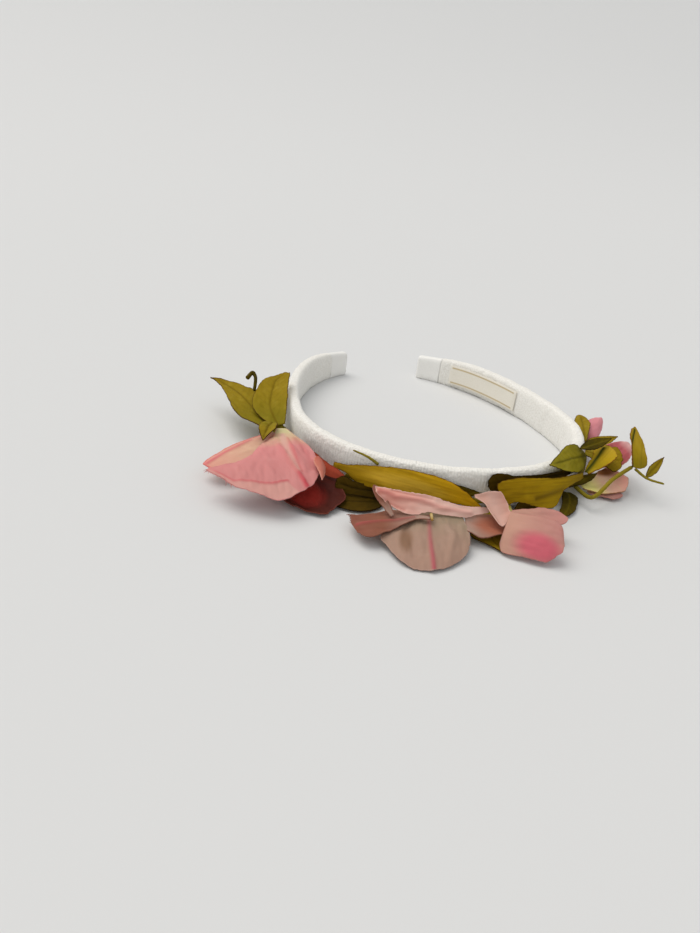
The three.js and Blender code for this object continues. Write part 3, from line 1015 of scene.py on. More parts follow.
@dataclass(frozen=True)
class Calyx:
    """Taped throat that widens into a blossom, with lobes at its mouth."""

    path: BandPath
    node: str
    base: Triple
    heading: float
    pitch: float
    length: float
    foot: float
    mouth: float
    lobes: int = 5
    lobe_depth: float = 0.12
    lobe_mm: float = 0.5
    flare: float = 1.6
    rim_at: float = 0.8
    turned_in: float = 0.85
    sunk: float = 0.2
    columns: int = 40
    rows: int = 26

    def build(self) -> bpy.types.Object:
        """Models the throat.

        Returns:
            The closed throat.
        """
        along, side = grown(self.heading, self.pitch)
        face = side.cross(along)
        start = self.path.point(*self.base)

        def place(x: float, y: float) -> Vector:
            """Rolls the grid into a cone whose mouth turns in.

            Args:
                x: share round the throat.
                y: share along it and then into its mouth.

            Returns:
                The point in millimetres.
            """
            theta = TURN * x
            u = min(1.0, y / self.rim_at)
            inner = ease(self.rim_at, 1.0, y)
            lobe = u * math.cos(self.lobes * theta)
            spread = self.foot + (self.mouth - self.foot) * u**self.flare
            radius = spread * (1.0 + self.lobe_depth * lobe) * (1.0 - self.turned_in * inner)
            reach = self.length * (u - self.sunk * inner) + self.lobe_mm * lobe * (1.0 - inner)
            across = side * math.cos(theta) + face * math.sin(theta)
            return start + along * reach + across * radius

        def marks(x: float, y: float) -> dict[str, float]:
            """Gives the finish its place along the throat and its ribs."""
            rib = 0.5 - 0.5 * math.cos(self.lobes * TURN * x)
            return {"along": min(1.0, y / self.rim_at), "crease": 0.4 * rib, "edge_mm": 1.0}

        piece = modelled(f"{self.node}_tape", self.columns, self.rows, place, marks)
        close_tube(piece)
        return piece

    def dress(self, piece: bpy.types.Object) -> None:
        """Gives the throat its finish."""
        settle(piece, self.node, CALYX)
        tell(piece, "calyx")


@dataclass(frozen=True)
class Crease:
    """Fold or dyed line of a blade through places along and across it, in millimetres.

    Dye runs from its first share to its last along the line, and height lifts the cloth.
    """

    via: tuple[Pair, ...]
    width: float = 0.9
    height: float = 0.3
    dye: Pair = (0.8, 0.8)

    def shares(self, along: float, across: float) -> Pair:
        """Gives how much of the fold and of its dye there is at a place.

        Args:
            along: millimetres along the blade.
            across: millimetres across it.

        Returns:
            Both as shares from 0 to 1.
        """
        here = Vector((along, across))
        stretches = list(zip(self.via, self.via[1:]))
        best = (math.inf, 0.0)
        for k, (first, last) in enumerate(stretches):
            a, way = Vector(first), Vector(last) - Vector(first)
            share = min(1.0, max(0.0, (here - a).dot(way) / way.length_squared))
            best = min(best, ((here - a - way * share).length, (k + share) / len(stretches)))
        fold = math.exp(-((best[0] / self.width) ** 2))
        return fold, fold * (self.dye[0] + (self.dye[1] - self.dye[0]) * best[1])

    def share(self, along: float, across: float) -> float:
        """Gives the dye alone, for a stripe."""
        return self.shares(along, across)[1]


@dataclass(frozen=True)
class DyeAndLightPatch:
    """Round colour patch, its middle and its half sizes along and across, in millimetres. Some are dye,
    some painted highlight, some painted shadow.
    """

    at: Pair
    size: Pair
    soft: Pair = (0.45, 1.25)

    def share(self, along: float, across: float) -> float:
        """Gives how much of the patch there is at a place, from 0 to 1."""
        off = math.hypot((along - self.at[0]) / self.size[0], (across - self.at[1]) / self.size[1])
        return 1.0 - ease(*self.soft, off)


@dataclass(frozen=True)
class Veil:
    """Single layer of cloth beyond a line of the blade, paler than the doubled cloth before it.

    The line gives places across and how far along it runs there, in millimetres.
    """

    across: Row
    along: Row
    strength: float = 0.5
    soft: Pair = (-0.2, 1.0)

    def share(self, along: float, across: float) -> float:
        """Gives how pale the cloth is at a place.

        Args:
            along: millimetres along the blade.
            across: millimetres across it.

        Returns:
            A share from 0 to 1.
        """
        stretches = zip(self.across, self.across[1:], self.along, self.along[1:])
        for left, right, first, last in stretches:
            if left <= across <= right:
                line = first + (last - first) * (across - left) / (right - left)
                return self.strength * ease(*self.soft, along - line)
        return 0.0


@dataclass(frozen=True)
class Rim:
    """Edges left and right of a blade's line of growth, in millimetres, at shares of its length."""

    at: Row
    left: Row
    right: Row

    def edges(self, u: float) -> Pair:
        """Gives both edges, eased between the stations.

        Args:
            u: share of the length.

        Returns:
            The left and the right edge, in millimetres.
        """
        at = self.at
        after = max(1, next(i for i, share in enumerate(at) if share >= min(u, 1.0)))
        last, before, beyond = after - 1, max(0, after - 2), min(len(at) - 1, after + 1)
        span = at[after] - at[last]
        t = (u - at[last]) / span

        def eased(edge: Row) -> float:
            """Eases one edge.

            Args:
                edge: its places at the stations.

            Returns:
                The place here.
            """
            leave = (edge[after] - edge[before]) / (at[after] - at[before]) * span
            arrive = (edge[beyond] - edge[last]) / (at[beyond] - at[last]) * span
            start = edge[last] * (1.0 + 2.0 * t) * (1.0 - t) ** 2 + leave * t * (1.0 - t) ** 2
            return start + edge[after] * t * t * (3.0 - 2.0 * t) + arrive * t * t * (t - 1.0)

        return eased(self.left), eased(self.right)


@dataclass(frozen=True)
class Oval:
    """Leaf cut, pointed at both ends and widest at its shoulder, with half widths left and right."""

    left: float
    right: float
    shoulder: float = 0.42
    fullness: float = 0.9
    tip: float = 0.08

    def edges(self, u: float) -> Pair:
        """Gives both edges.

        Args:
            u: share of the length.

        Returns:
            The left and the right edge, in millimetres.
        """
        stretch = math.log(0.5) / math.log(self.shoulder)
        share = max(self.tip, max(0.0, math.sin(math.pi * u**stretch)) ** self.fullness)
        return -self.left * share, self.right * share


@dataclass(frozen=True)
class Spoon:
    """Petal cut that widens from a claw to its shoulder and ends in a round rim."""

    left: float
    right: float
    shoulder: float = 0.55
    claw: float = 0.25
    tip: float = 0.08

    def edges(self, u: float) -> Pair:
        """Gives both edges.

        Args:
            u: share of the length.

        Returns:
            The left and the right edge, in millimetres.
        """
        if u < self.shoulder:
            share = self.claw + (1.0 - self.claw) * u / self.shoulder
        else:
            past = (u - self.shoulder) / (1.0 - self.shoulder)
            share = max(self.tip, max(0.0, 1.0 - past * past) ** 0.5)
        return -self.left * share, self.right * share


Cut = Rim | Oval | Spoon


@dataclass(frozen=True)
class Blade:
    """Petal or leaf cut from stiffened cloth, pinched at its base and shaped by hand.

    Sizes are in millimetres and angles in degrees. The base is an angle along the band, out and up,
    growth is heading, pitch and length, and turn lowers the right side.
    """

    path: BandPath
    node: str
    base: Triple
    growth: Triple
    cut: Cut
    finish: ClothFinish
    turn: float = 0.0
    arch: float = 0.0
    curl: float = 0.0
    cup: float = 0.0
    fold: float = 0.0
    ruffle: float = 0.0
    crumple: float = 0.25
    fold_mm: float = 3.5
    fray: float = 0.22
    pleats: float = 0.0
    pleat_mm: float = 0.0
    rib: float = 0.0
    veins: float = 0.0
    streaks: float = 0.0
    creases: tuple[Crease, ...] = ()
    blots: tuple[DyeAndLightPatch | Crease | Veil, ...] = ()
    extra: bool = False
    wall: float = 0.36
    vein_mm: float = 4.2
    vein_slant: float = 1.2
    rib_mm: float = 0.55
    streak_mm: float = 0.12
    waves: float = 7.0
    fan_mm: float = 5.0
    ease_in: float = 1.05
    least_mm: float = 10.0
    least_fill: float = 0.301
    fray_mm: Pair = (1.1, 3.6)
    wrinkle_mm: Pair = (1.6, 4.0)
    line_mm: Pair = (0.7, 18.0)
    steps: int = 40
    half_steps: int = 10
    columns: int = 44
    rows: int = 72

    def axes(self) -> tuple[Vector, Vector, Vector]:
        """Works out how the blade lies.

        Returns:
            The directions of growth, side and face.
        """
        along, side = grown(self.growth[0], self.growth[1])
        about = Quaternion(along, math.radians(self.turn))
        return along, about @ side, about @ side.cross(along)

    def seed(self) -> float:
        """Gives a number of the blade's own, so that no two crumple alike."""
        return self.growth[0] * 0.37 + self.growth[2] * 1.3 + self.base[0] * 0.11

    def edges(self, u: float) -> Pair:
        """Gives the cut edges with their fraying.

        Args:
            u: share along, from 0 to 1.

        Returns:
            The left and the right edge, in millimetres.
        """
        left, right = self.cut.edges(u)
        run, seed = u * self.growth[2], self.seed()
        soft = self.fray * min(1.0, (right - left) / 4.0)
        fine, coarse = (run / size for size in self.fray_mm)
        loose = [bumpy(fine, k, seed) + 0.8 * bumpy(coarse, k + 5.0, seed) for k in (0.0, 2.0)]
        return left - soft * loose[0], right + soft * loose[1]

    def spot(self, u: float, v: float) -> Triple:
        """Gives a place in the flat cut.

        Args:
            u: share along, from 0 to 1.
            v: share across, from -1 at the left edge to 1.

        Returns:
            Along, across and half of the width, in millimetres.
        """
        left, right = self.edges(u)
        half = (right - left) / 2.0
        end = self.fray * 1.6 * bumpy(v * half / 1.8, 3.0, self.seed()) * ease(0.8, 1.0, u)
        return self.growth[2] * u + end, left + half * (v + 1.0), half

    def vein(self, u: float, v: float) -> float:
        """Gives the side veins of a leaf.

        Args:
            u: share along, from 0 to 1.
            v: share across, from -1 at the left edge to 1.

        Returns:
            A share from 0 to 1.
        """
        along, _, half = self.spot(u, v)
        phase = (along - self.vein_slant * half * abs(v)) / self.vein_mm
        return max(0.0, math.cos(TURN * phase)) ** 8 * (1.0 - abs(v)) ** 0.5

    def streak(self, u: float, v: float) -> float:
        """Gives the long fine lines of a narrow leaf, between about -1 and 1."""
        along, across, _ = self.spot(u, v)
        return bumpy(across / self.line_mm[0], along / self.line_mm[1], self.seed() + Seed.STREAKS.value)

    def midrib(self, u: float, v: float) -> float:
        """Gives the middle rib of a leaf.

        Args:
            u: share along, from 0 to 1.
            v: share across, from -1 at the left edge to 1.

        Returns:
            A share from 0 to 1.
        """
        half = self.spot(u, v)[2]
        off = half * v / self.rib_mm
        return math.exp(-off * off) * ease(1.0, 0.85, u)

    def point(self, u: float, v: float) -> Vector:
        """Shapes the cut.

        Args:
            u: share along, from 0 to 1.
            v: share across, from -1 at the left edge to 1.

        Returns:
            The point in millimetres.
        """
        along, side, face = self.axes()
        reach, across, half = self.spot(u, v)
        lift = 4.0 * self.arch * u * (1.0 - u) + self.curl * u**3
        lift += half * (self.cup * v * v + self.fold * abs(v))
        lift += self.ruffle * math.sin(self.waves * u + (0.0 if v < 0.0 else 2.0)) * v * v * u
        seed = self.seed()
        wrinkle = bumpy(across / self.fold_mm, reach / (2.6 * self.fold_mm), seed)
        small = (across / self.wrinkle_mm[0], reach / self.wrinkle_mm[1])
        wrinkle += 0.5 * bumpy(*small, seed + Seed.WRINKLES.value)
        lift += self.crumple * wrinkle * ease(0.0, 0.25, u)
        fan = math.atan2(across, reach + self.fan_mm)
        pleat = math.sin(self.pleats * fan + seed) * ease(0.02, 0.3, u) * ease(1.2, 0.5, u)
        lift += self.pleat_mm * pleat
        lift += sum(c.height * c.shares(reach, across)[0] for c in self.creases)
        if self.rib:
            lift += self.rib * self.midrib(u, v) + self.veins * self.vein(u, v)
        if self.streaks:
            lift += self.streak_mm * self.streaks * self.streak(u, v)
        return self.path.point(*self.base) + along * reach + side * across + face * lift

    def build(self) -> bpy.types.Object:
        """Models the blade.

        Returns:
            The blade with its thickness.
        """

        def place(x: float, y: float) -> Vector:
            """Moves the grid onto the blade, closer together towards the rim."""
            return self.point(math.sin(y * math.pi / 2.0), 2.0 * x - 1.0)

        def marks(x: float, y: float) -> dict[str, float]:
            """Gives the finish the place along, dyed lines, colour patches and the distance to the cut
            edge.

            Args:
                x: share across the blade, from 0 to 1.
                y: share along it, before its rows close up.

            Returns:
                Values by name.
            """
            u, v = math.sin(y * math.pi / 2.0), 2.0 * x - 1.0
            reach, across, half = self.spot(u, v)
            lines = [c.shares(reach, across)[1] for c in self.creases]
            if self.rib:
                lines += [0.7 * self.midrib(u, v), 0.35 * self.vein(u, v)]
            if self.streaks:
                lines.append(self.streaks * max(0.0, self.streak(u, v)))
            edge = min(half * (1.0 - abs(v)), (1.0 - u) * self.growth[2])
            blot = max((b.share(reach, across) for b in self.blots), default=0.0)
            return {"along": u, "crease": max(lines, default=0.0), "edge_mm": edge, "blot": blot}

        piece = modelled(f"{self.node}_cloth", self.columns, self.rows, place, marks)
        thicken(piece, self.wall, 0.0)
        return piece

    def area(self) -> float:
        """Measures the shaped cloth.

        Returns:
            Square millimetres.
        """
        shares = [k / self.half_steps - 1.0 for k in range(2 * self.half_steps + 1)]
        rows = [[self.point(i / self.steps, v) for v in shares] for i in range(self.steps + 1)]
        area = 0.0
        for low, high in zip(rows, rows[1:]):
            for a, b, c, d in zip(low, low[1:], high, high[1:]):
                area += (d - a).cross(c - b).length / 2.0
        return area

    def dress(self, piece: bpy.types.Object) -> None:
        """The flat cloth is a little larger than the cut, because cupping and crumples take some in.

        Args:
            piece: the modelled blade.
        """
        settle(piece, "" if self.extra else self.node, self.finish)
        cuts = [self.cut.edges(i / self.steps) for i in range(self.steps + 1)]
        width = max(right for _, right in cuts) - min(left for left, _ in cuts)
        sides = (width * self.ease_in, self.growth[2] * self.ease_in)
        flat = tuple(max(self.least_mm, size) * MM for size in sides)
        whole = flat[0] * flat[1]
        cut = min(max(self.area() * MM * MM, self.least_fill * whole), whole)
        tell(piece, "cloth blade")


@dataclass(frozen=True)
class Fringe:
    """Threads that came loose along a cut edge, from one place of a blade to another.

    Places are shares along and across, and sizes are in millimetres.
    """

    name: str
    blade: Blade
    first: Pair
    last: Pair
    count: int = 26
    length: float = 2.4
    radius: float = 0.1
    columns: int = 5
    rows: int = 6

    def thread(self, number: int) -> bpy.types.Object:
        """Models one loose thread.

        Args:
            number: which one it is.

        Returns:
            The closed thread.
        """
        share = number / (self.count - 1)
        u, v = (a + (b - a) * share for a, b in zip(self.first, self.last))
        root = self.blade.point(u, v)
        way = (root - self.blade.point(0.96 * u, 0.96 * v)).normalized()
        stray = Vector([bumpy(1.7 * number, axis, Seed.THREADS.value) for axis in (1.3, 2.6, 3.9)])
        reach = self.length * (0.4 + 1.5 * abs(bumpy(2.3 * number, 5.2, Seed.THREADS.value)))
        bend, tip = root + way * reach * 0.5, root + (way + stray).normalized() * reach
        side = way.orthogonal().normalized()

        def place(x: float, y: float) -> Vector:
            """Rolls the grid round the bent thread.

            Args:
                x: share round the thread.
                y: share along it.

            Returns:
                The point in millimetres.
            """
            middle = root * (1.0 - y) ** 2 + bend * (2.0 * y * (1.0 - y)) + tip * y * y
            theta = TURN * x
            across = side * math.cos(theta) + way.cross(side) * math.sin(theta)
            return middle + across * self.radius * (1.0 - 0.5 * y)

        def marks(x: float, y: float) -> dict[str, float]:
            """Gives the finish the dye of the cut edge."""
            return {"along": u, "crease": 0.0, "edge_mm": 0.2, "blot": 0.0}

        piece = modelled(f"{self.name}_{number}", self.columns, self.rows, place, marks)
        close_tube(piece)
        return piece

    def build(self) -> bpy.types.Object:
        """Models the threads as one piece.

        Returns:
            The joined threads.
        """
        threads = [self.thread(number) for number in range(self.count)]
        bpy.ops.object.select_all(action="DESELECT")
        for thread in threads:
            thread.select_set(True)
        bpy.context.view_layer.objects.active = threads[0]
        bpy.ops.object.join()
        threads[0].name = threads[0].data.name = self.name
        return threads[0]

    def dress(self, piece: bpy.types.Object) -> None:
        """Gives the threads the dye of their cloth."""
        settle(piece, "", self.blade.finish)
        tell(piece, "loose threads")


@dataclass(frozen=True)
class Garland:
    """Taped wire along the band's outer face, with the leaves, blossoms and stems that it carries."""

    path: BandPath
    wire_out: float = 4.5
    wire_up: float = 4.6
    wire_from: float = -48.0
    wire_to: float = 75.0
    wire_points: int = 10

    def parts(self) -> list[Stem | Calyx | Blade | Fringe]:
        """Gathers the pieces.

        Returns:
            The pieces, from the wire outwards.
        """
        parts = [*self.stems(), *self.calyces(), *self.left_leaves(), *self.right_leaves()]
        return parts + [*self.first_blossom(), *self.second_blossom(), *self.right_blossoms()]

    def leaf(self, node: str, base: Triple, growth: Triple, cut: Cut, **more: object) -> Blade:
        """Gives a leaf from its place, growth and cut."""
        looks = {"finish": LEAF_OLIVE, "rib": -0.25, "veins": 0.12, **more}
        return Blade(self.path, node, base, growth, cut, **looks)

    def petal(self, node: str, base: Triple, growth: Triple, cut: Cut, **more: object) -> Blade:
        """Gives a petal from its place, growth and cut."""
        return Blade(self.path, node, base, growth, cut, **{"finish": ROSE, **more})

    def left_leaves(self) -> Iterable[Blade]:
        """Gives the leaves of the left arm and the front.

        Returns:
            The pieces, in the order that they are made.
        """
        yield self.leaf(
            "leaf_left_long", (-83.3, 8.5, 8.2), (119, 5, 53.5),
            Rim(at=(0, 0.18, 0.32, 0.53, 0.63, 0.79, 0.92, 1),
                left=(-3.5, -8.5, -10.2, -6.5, -4.4, -1.6, -0.5, -0.3),
                right=(2.2, 6, 8.2, 7.8, 6.8, 4.4, 1.9, 0.4)),
            turn=-8, arch=2, cup=0.12, ruffle=0.8, crumple=0.8, fold_mm=5.0,
        )
        yield self.leaf(
            "leaf_left_upright", (-83, 9, 10.3), (88, 19, 37.5),
            Rim(at=(0, 0.23, 0.41, 0.6, 0.8, 0.9, 1),
                left=(-3.5, -9, -10.5, -8.7, -6.2, -3.4, 4.5),
                right=(2.5, 3.8, 4.7, 5.5, 6.3, 7, 7.2)),
            turn=-12, curl=-3, cup=0.1, crumple=0.8, fold_mm=4.5,
        )
        yield self.leaf(
            "leaf_left_bract", (-82, 12, 12.1), (-108, 3, 21), Oval(3, 4), arch=0.6, fold=0.3,
            crumple=0.5,
        )
        yield self.leaf(
            "leaf_front_long", (-53, 5, 7), (-28, -3, 58),
            Rim(at=(0, 0.1, 0.2, 0.31, 0.48, 0.64, 0.76, 0.88, 1),
                left=(-1.2, -1.2, -2.4, -3.4, -4.9, -5.3, -4.9, -2.9, 0.6),
                right=(1, 1.8, 4.4, 5, 4.6, 3.4, 2.5, 2.1, 1.2)),
            turn=60, arch=11, cup=-0.2, ruffle=0.4, finish=LEAF_GOLD, rib=0.0, streaks=0.7, crumple=0.35,
            # Painted highlight: a lighter patch along the leaf's lit middle.
            blots=(DyeAndLightPatch((30.0, 0.5), (16.0, 3.0)),), columns=64, rows=110,
        )
        yield self.leaf(
            "leaf_front_dark", (-30, 6.6, 4.2), (161, 1, 22),
            Rim(at=(0, 0.3, 0.5, 0.7, 0.88, 1),
                left=(-1.2, -2.6, -2.8, -3, -3, -1),
                right=(1.5, 2.8, 2, 2.2, 3.4, 2.2)),
            turn=-70, arch=0.6, finish=LEAF_SHADE,
        )
        yield self.leaf(
            "leaf_front_low", (-32, 6.6, 1.1), (-173, 0, 22),
            Rim(at=(0, 0.25, 0.5, 0.7, 0.85, 1),
                left=(-1, -5.5, -7, -6.2, -4, -0.3),
                right=(1, 4, 7, 8, 6, 0.5)),
            finish=LEAF_SHADE, crumple=0.2,
        )
        yield self.leaf(
            "leaf_front_tip", (-25, 4.2, 9.2), (-14, -3, 26), Oval(2.6, 3.5), turn=75, arch=2.5,
            finish=LEAF_DARK,
        )
        yield self.leaf(
            "leaf_floor", (3, 4.1, 1.8), (-107, -1.5, 31),
            Rim(at=(0, 0.4, 0.75, 0.87, 1), left=(-3, -5, -4, -2.5, -0.3), right=(3, 8, 10.8, 5.6, 0.2)),
            crumple=0.15,
        )

    def right_leaves(self) -> Iterable[Blade]:
        """Gives the leaves of the right side.

        Returns:
            The pieces, in the order that they are made.
        """
        lobe = Crease(((34.5, -6.9), (26.9, -5.6), (19.6, -4.7)), width=1.2, height=-0.5, dye=(0.9, 0.6))
        yield self.leaf(
            "leaf_right_broad", (42, 7.4, 8.6), (-160, 6, 50),
            Rim(at=(0, 0.25, 0.36, 0.42, 0.48, 0.6, 0.85, 0.94, 1),
                left=(-1.5, -3, -4.4, -6.8, -10.2, -11, -7.5, -7.9, -1.5),
                right=(1, 0.6, 0.4, 0.3, 0.3, 0.5, 1.3, 0.7, -0.2)),
            turn=-65, arch=6, cup=-0.1, finish=LEAF_BROAD, rib=0.0, streaks=0.8, crumple=0.4,
            creases=(lobe,), columns=64, rows=100,
        )
        yield self.leaf(
            "leaf_right_behind", (40, 4.2, 11), (-162, 3, 47),
            Rim(at=(0, 0.35, 0.65, 0.78, 0.88, 0.96, 1),
                left=(-1.5, -2, -2, -3, -4.7, -4.6, -2.8),
                right=(1, 1, 1, 1.2, 2.2, 1.8, -0.6)),
            turn=-80, arch=4.5, finish=LEAF_SHADE,
        )
        yield self.leaf(
            "leaf_right_under", (26, 7, 2.6), (-156, -1, 24), Oval(4, 4, 0.65), turn=-20, arch=1,
            finish=LEAF_SHADE,
        )
        yield self.leaf(
            "leaf_right_hang", (34.5, 5.2, 2.6), (-112, -5, 20),
            Rim(at=(0, 0.12, 0.5, 0.78, 1),
                left=(-2, -4.5, -3.6, -1.2, 2.4),
                right=(1, 1.5, 2.1, 3.5, 2.8)),
            finish=LEAF_DARK, crumple=0.2,
        )
        yield self.leaf(
            "leaf_right_over", (52, 4.8, 12), (-144, 10, 37), Oval(5.3, 6.2), turn=-55, arch=1.5,
            cup=-0.1, finish=LEAF_GREEN, crumple=0.5,
        )
        yield self.leaf(
            "leaf_right_edge", (44, 3, 18), (18, 7, 18), Oval(2.5, 2.5), turn=20, finish=LEAF_DARK,
        )
        green = Crease(((0.0, -3.8), (6.2, -4.2), (16.3, -5.7)), width=0.8, height=0.6, dye=(1.0, 1.0))
        yield self.leaf(
            "leaf_right_rib", (41, 12.2, 10.4), (31, 25, 19),
            Rim(at=(0, 0.35, 0.6, 0.8, 1),
                left=(-4.4, -6.7, -7.6, -9, -6.5),
                right=(-2.6, 0.8, 2, 0.8, -4.4)),
            turn=-10, finish=LEAF_RIBBED, rib=0.0, creases=(green,), fray=0.4, streaks=0.2,
        )
        yield self.leaf(
            "leaf_right_side", (57, 3.5, 12.4), (-33, 4, 15),
            Rim(at=(0, 0.55, 0.7, 0.85, 1), left=(-2, -2, -5, -5, -0.5), right=(3, 7.7, 9.5, 10.4, 7)),
            turn=20, fray=0.4, crumple=0.4,
        )
        hem = Crease(
            ((0.0, -0.2), (4.8, -1.0), (10.0, -1.6), (18.2, 0.2)), width=0.8, height=0.4, dye=(1.0, 1.0),
        )
        yield self.leaf(
            "leaf_trail_up", (52, 22.8, 13.4), (65, 34, 20),
            Rim(at=(0, 0.07, 0.2, 0.32, 0.57, 0.84, 1),
                left=(-0.4, -0.5, -0.8, -1.1, -1.9, -1.8, 0.4),
                right=(1, 4.8, 8.5, 10.3, 9.4, 6.1, 1.4)),
            turn=40, finish=LEAF_RIBBED, fray=0.35, rib=0.0, veins=0.0, streaks=0.3, creases=(hem,),
        )
        yield self.leaf("leaf_trail_fork", (52, 29.2, 10.4), (34, 18, 16), Oval(1.8, 2), turn=40)
        yield self.leaf(
            "leaf_bud_up", (71, 4.4, 11), (66, 2, 30), Spoon(2.8, 4.2, 0.65, 0.2), turn=-10, crumple=0.4,
        )
        yield self.leaf("leaf_bud_side", (70, 4.2, 9), (18, 4, 22), Oval(3, 3), turn=20)
        yield self.leaf(
            "sepal_4", (34.5, 6.5, 5.4), (24, 8, 17.5), Oval(1.8, 1.8, 0.55), turn=20, arch=0.6,
            finish=LEAF_DARK, fold=-0.3, extra=True,
        )

    def first_blossom(self) -> Iterable[Blade | Fringe]:
        """Gives the petals of the large blossom on the left and the loose threads of its tip.

        Returns:
            The pieces, in the order that they are made.
        """
        fold = Crease(
            ((18.6, 5.6), (30.4, 3.7), (39.2, 1.7), (46.2, 0.1)), width=0.9, height=0.7, dye=(0.1, 1.0),
        )
        soft = Crease(((11.5, 2.3), (27.6, 0.5), (37.5, -0.9)), width=1.2, height=0.5, dye=(0.0, 0.1))
        lap = Crease(
            ((36.5, 31.1), (42.7, 25.6), (44.8, 12.0), (42.9, 6.7)), width=0.6, height=0.25,
            dye=(0.35, 0.6),
        )
        left_tuck = Crease(
            ((8.0, 4.5), (20.0, 13.0), (31.0, 23.0)), width=1.8, height=-0.5, dye=(0.15, 0.0),
        )
        right_tuck = Crease(
            ((14.0, -2.0), (26.0, -4.0), (36.0, -4.8)), width=1.3, height=-0.4, dye=(0.3, 0.1),
        )
        stripe = Crease(
            ((8.0, 1.8), (15.0, 2.9), (23.8, 3.1), (31.0, 2.7), (37.4, 1.5)), width=1.2, dye=(1.0, 0.6),
        )
        line = Crease(
            ((12.7, 1.1), (23.8, 1.2), (31.1, 1.2), (38.0, 0.6)), width=0.6, height=0.2, dye=(0.3, 0.7),
        )
        veil = Veil(across=(1.0, 6.7, 12.0, 25.6, 31.1, 36.0), along=(53.0, 43.2, 44.8, 42.7, 36.5, 33.0))
        top = self.petal(
            "petal_1_top", (-79, 8.9, 10.7), (-87, -4, 52.5),
            Rim(at=(0, 0.22, 0.37, 0.5, 0.58, 0.655, 0.76, 0.88, 1),
                left=(-1.4, -3.3, -6.5, -7.4, -7.6, -7.5, -5.4, -1, 9),
                right=(2.5, 6.8, 13, 17, 22.5, 33.4, 29.5, 24, 11.5)),
            arch=3.4, cup=-0.04, ruffle=0.5, creases=(fold, soft, line, lap, left_tuck, right_tuck),
            blots=(stripe, veil), crumple=0.6, fold_mm=6.0, pleats=13.0, pleat_mm=0.45, columns=96,
            rows=110,
        )
        yield top
        yield Fringe("petal_1_threads", top, (0.66, 1.0), (0.84, 1.0))
        yield self.petal(
            "petal_1_flap", (-53.9, 13.4, 12.5), (-95, -8, 15), Oval(2.4, 2.2, 0.3), turn=-25, arch=1.0,
            cup=-0.5, crumple=0.2, finish=ROSE_FLAP, extra=True,
        )
        pink = Crease(((35.6, -1.9), (25.6, -0.6), (12.0, 0.3)), width=0.8, height=0.3, dye=(1.0, 0.8))
        yield self.petal(
            "petal_1_back", (-79, 13.2, 9.4), (-143, -5.3, 36.5),
            Rim(at=(0, 0.3, 0.5, 0.65, 0.8, 0.88, 0.94, 1),
                left=(-2.6, -6, -10, -11, -10.4, -9.6, -8.2, -5.6),
                right=(0.5, 1.6, 1.8, 1.6, 1, 0.5, 0, -0.8)),
            arch=0.5, finish=ROSE_STRIP, creases=(pink,),
        )
        yield self.petal(
            "petal_1_side", (-72, 7.3, 7.4), (-58, -4, 30),
            Rim(at=(0, 0.5, 0.7, 0.84, 0.94, 1),
                left=(-2.6, -2.7, -2, -1.6, -1.1, -0.4),
                right=(1.2, 2, 2.5, 2.5, 1.6, 0.4)),
            turn=65, arch=5, finish=CORAL, crumple=0.35,
        )
        under = Crease(
            ((39.4, 8.7), (46.1, 5.0), (45.0, -1.0), (36.8, -4.5), (32.4, -4.5)), width=0.7, height=-0.3,
            dye=(0.8, 0.5),
        )
        # The low petal wears the darker coral copy, painted shade; its red patch is partly painted light.
        yield self.petal(
            "petal_1_low", (-77, 10.4, 4), (-80, -3, 51),
            Rim(at=(0, 0.3, 0.6, 0.75, 0.88, 1),
                left=(-2.5, -8, -13, -12, -10.2, -1.5),
                right=(2.5, 8, 12.5, 12.2, 9.8, 1.5)),
            cup=0.1, finish=CORAL_PAINTED_SHADE, creases=(under,), blots=(DyeAndLightPatch((36.5, 2.6), (9.5, 8.0)),),
            crumple=0.5, pleats=11.0, pleat_mm=0.6, columns=72, rows=90,
        )

    def second_blossom(self) -> Iterable[Blade | Fringe]:
        """Gives the petals of the wide blossom in front and the loose threads of its left end.

        Returns:
            The pieces, in the order that they are made.
        """
        rib = Crease(((5.6, -0.6), (17.6, -0.7), (30.5, -1.7)), width=0.75, height=0.35, dye=(0.5, 1.0))
        dent = Crease(((10.0, 7.5), (18.8, 5.9), (25.2, 3.7)), width=1.6, height=-0.5, dye=(0.0, 0.0))
        bend = Crease(((7.3, -4.3), (13.6, -9.0), (25.7, -6.7)), width=1.4, height=0.5, dye=(0.0, 0.0))
        yield self.petal(
            "petal_2_low", (-20.4, 17.6, 6.8), (-105, -11, 31),
            Rim(at=(0, 0.13, 0.3, 0.48, 0.6, 0.68, 0.81, 0.91, 1),
                left=(-12, -13.4, -14.4, -14.6, -13.8, -12.8, -9.6, -6.2, -1.4),
                right=(6, 8, 11, 14.4, 15.6, 13.6, 11.2, 8.8, 4.6)),
            arch=1, cup=-0.1, ruffle=0.6, finish=BLUSH, creases=(rib, dent, bend),
            # This patch is painted shadow where the left petal overlaps the low petal.
            blots=(DyeAndLightPatch((18.5, 7.2), (6.5, 2.6)),), crumple=0.5, fold_mm=5.0, columns=80, rows=90,
        )
        pleat = Crease(((24.7, -4.8), (16.9, -3.2), (5.2, -1.0)), width=0.6, height=0.6, dye=(0.9, 0.5))
        tuck = Crease(((26.0, -8.0), (14.0, -6.5), (6.0, -3.5)), width=0.8, height=-0.4, dye=(0.0, 0.2))
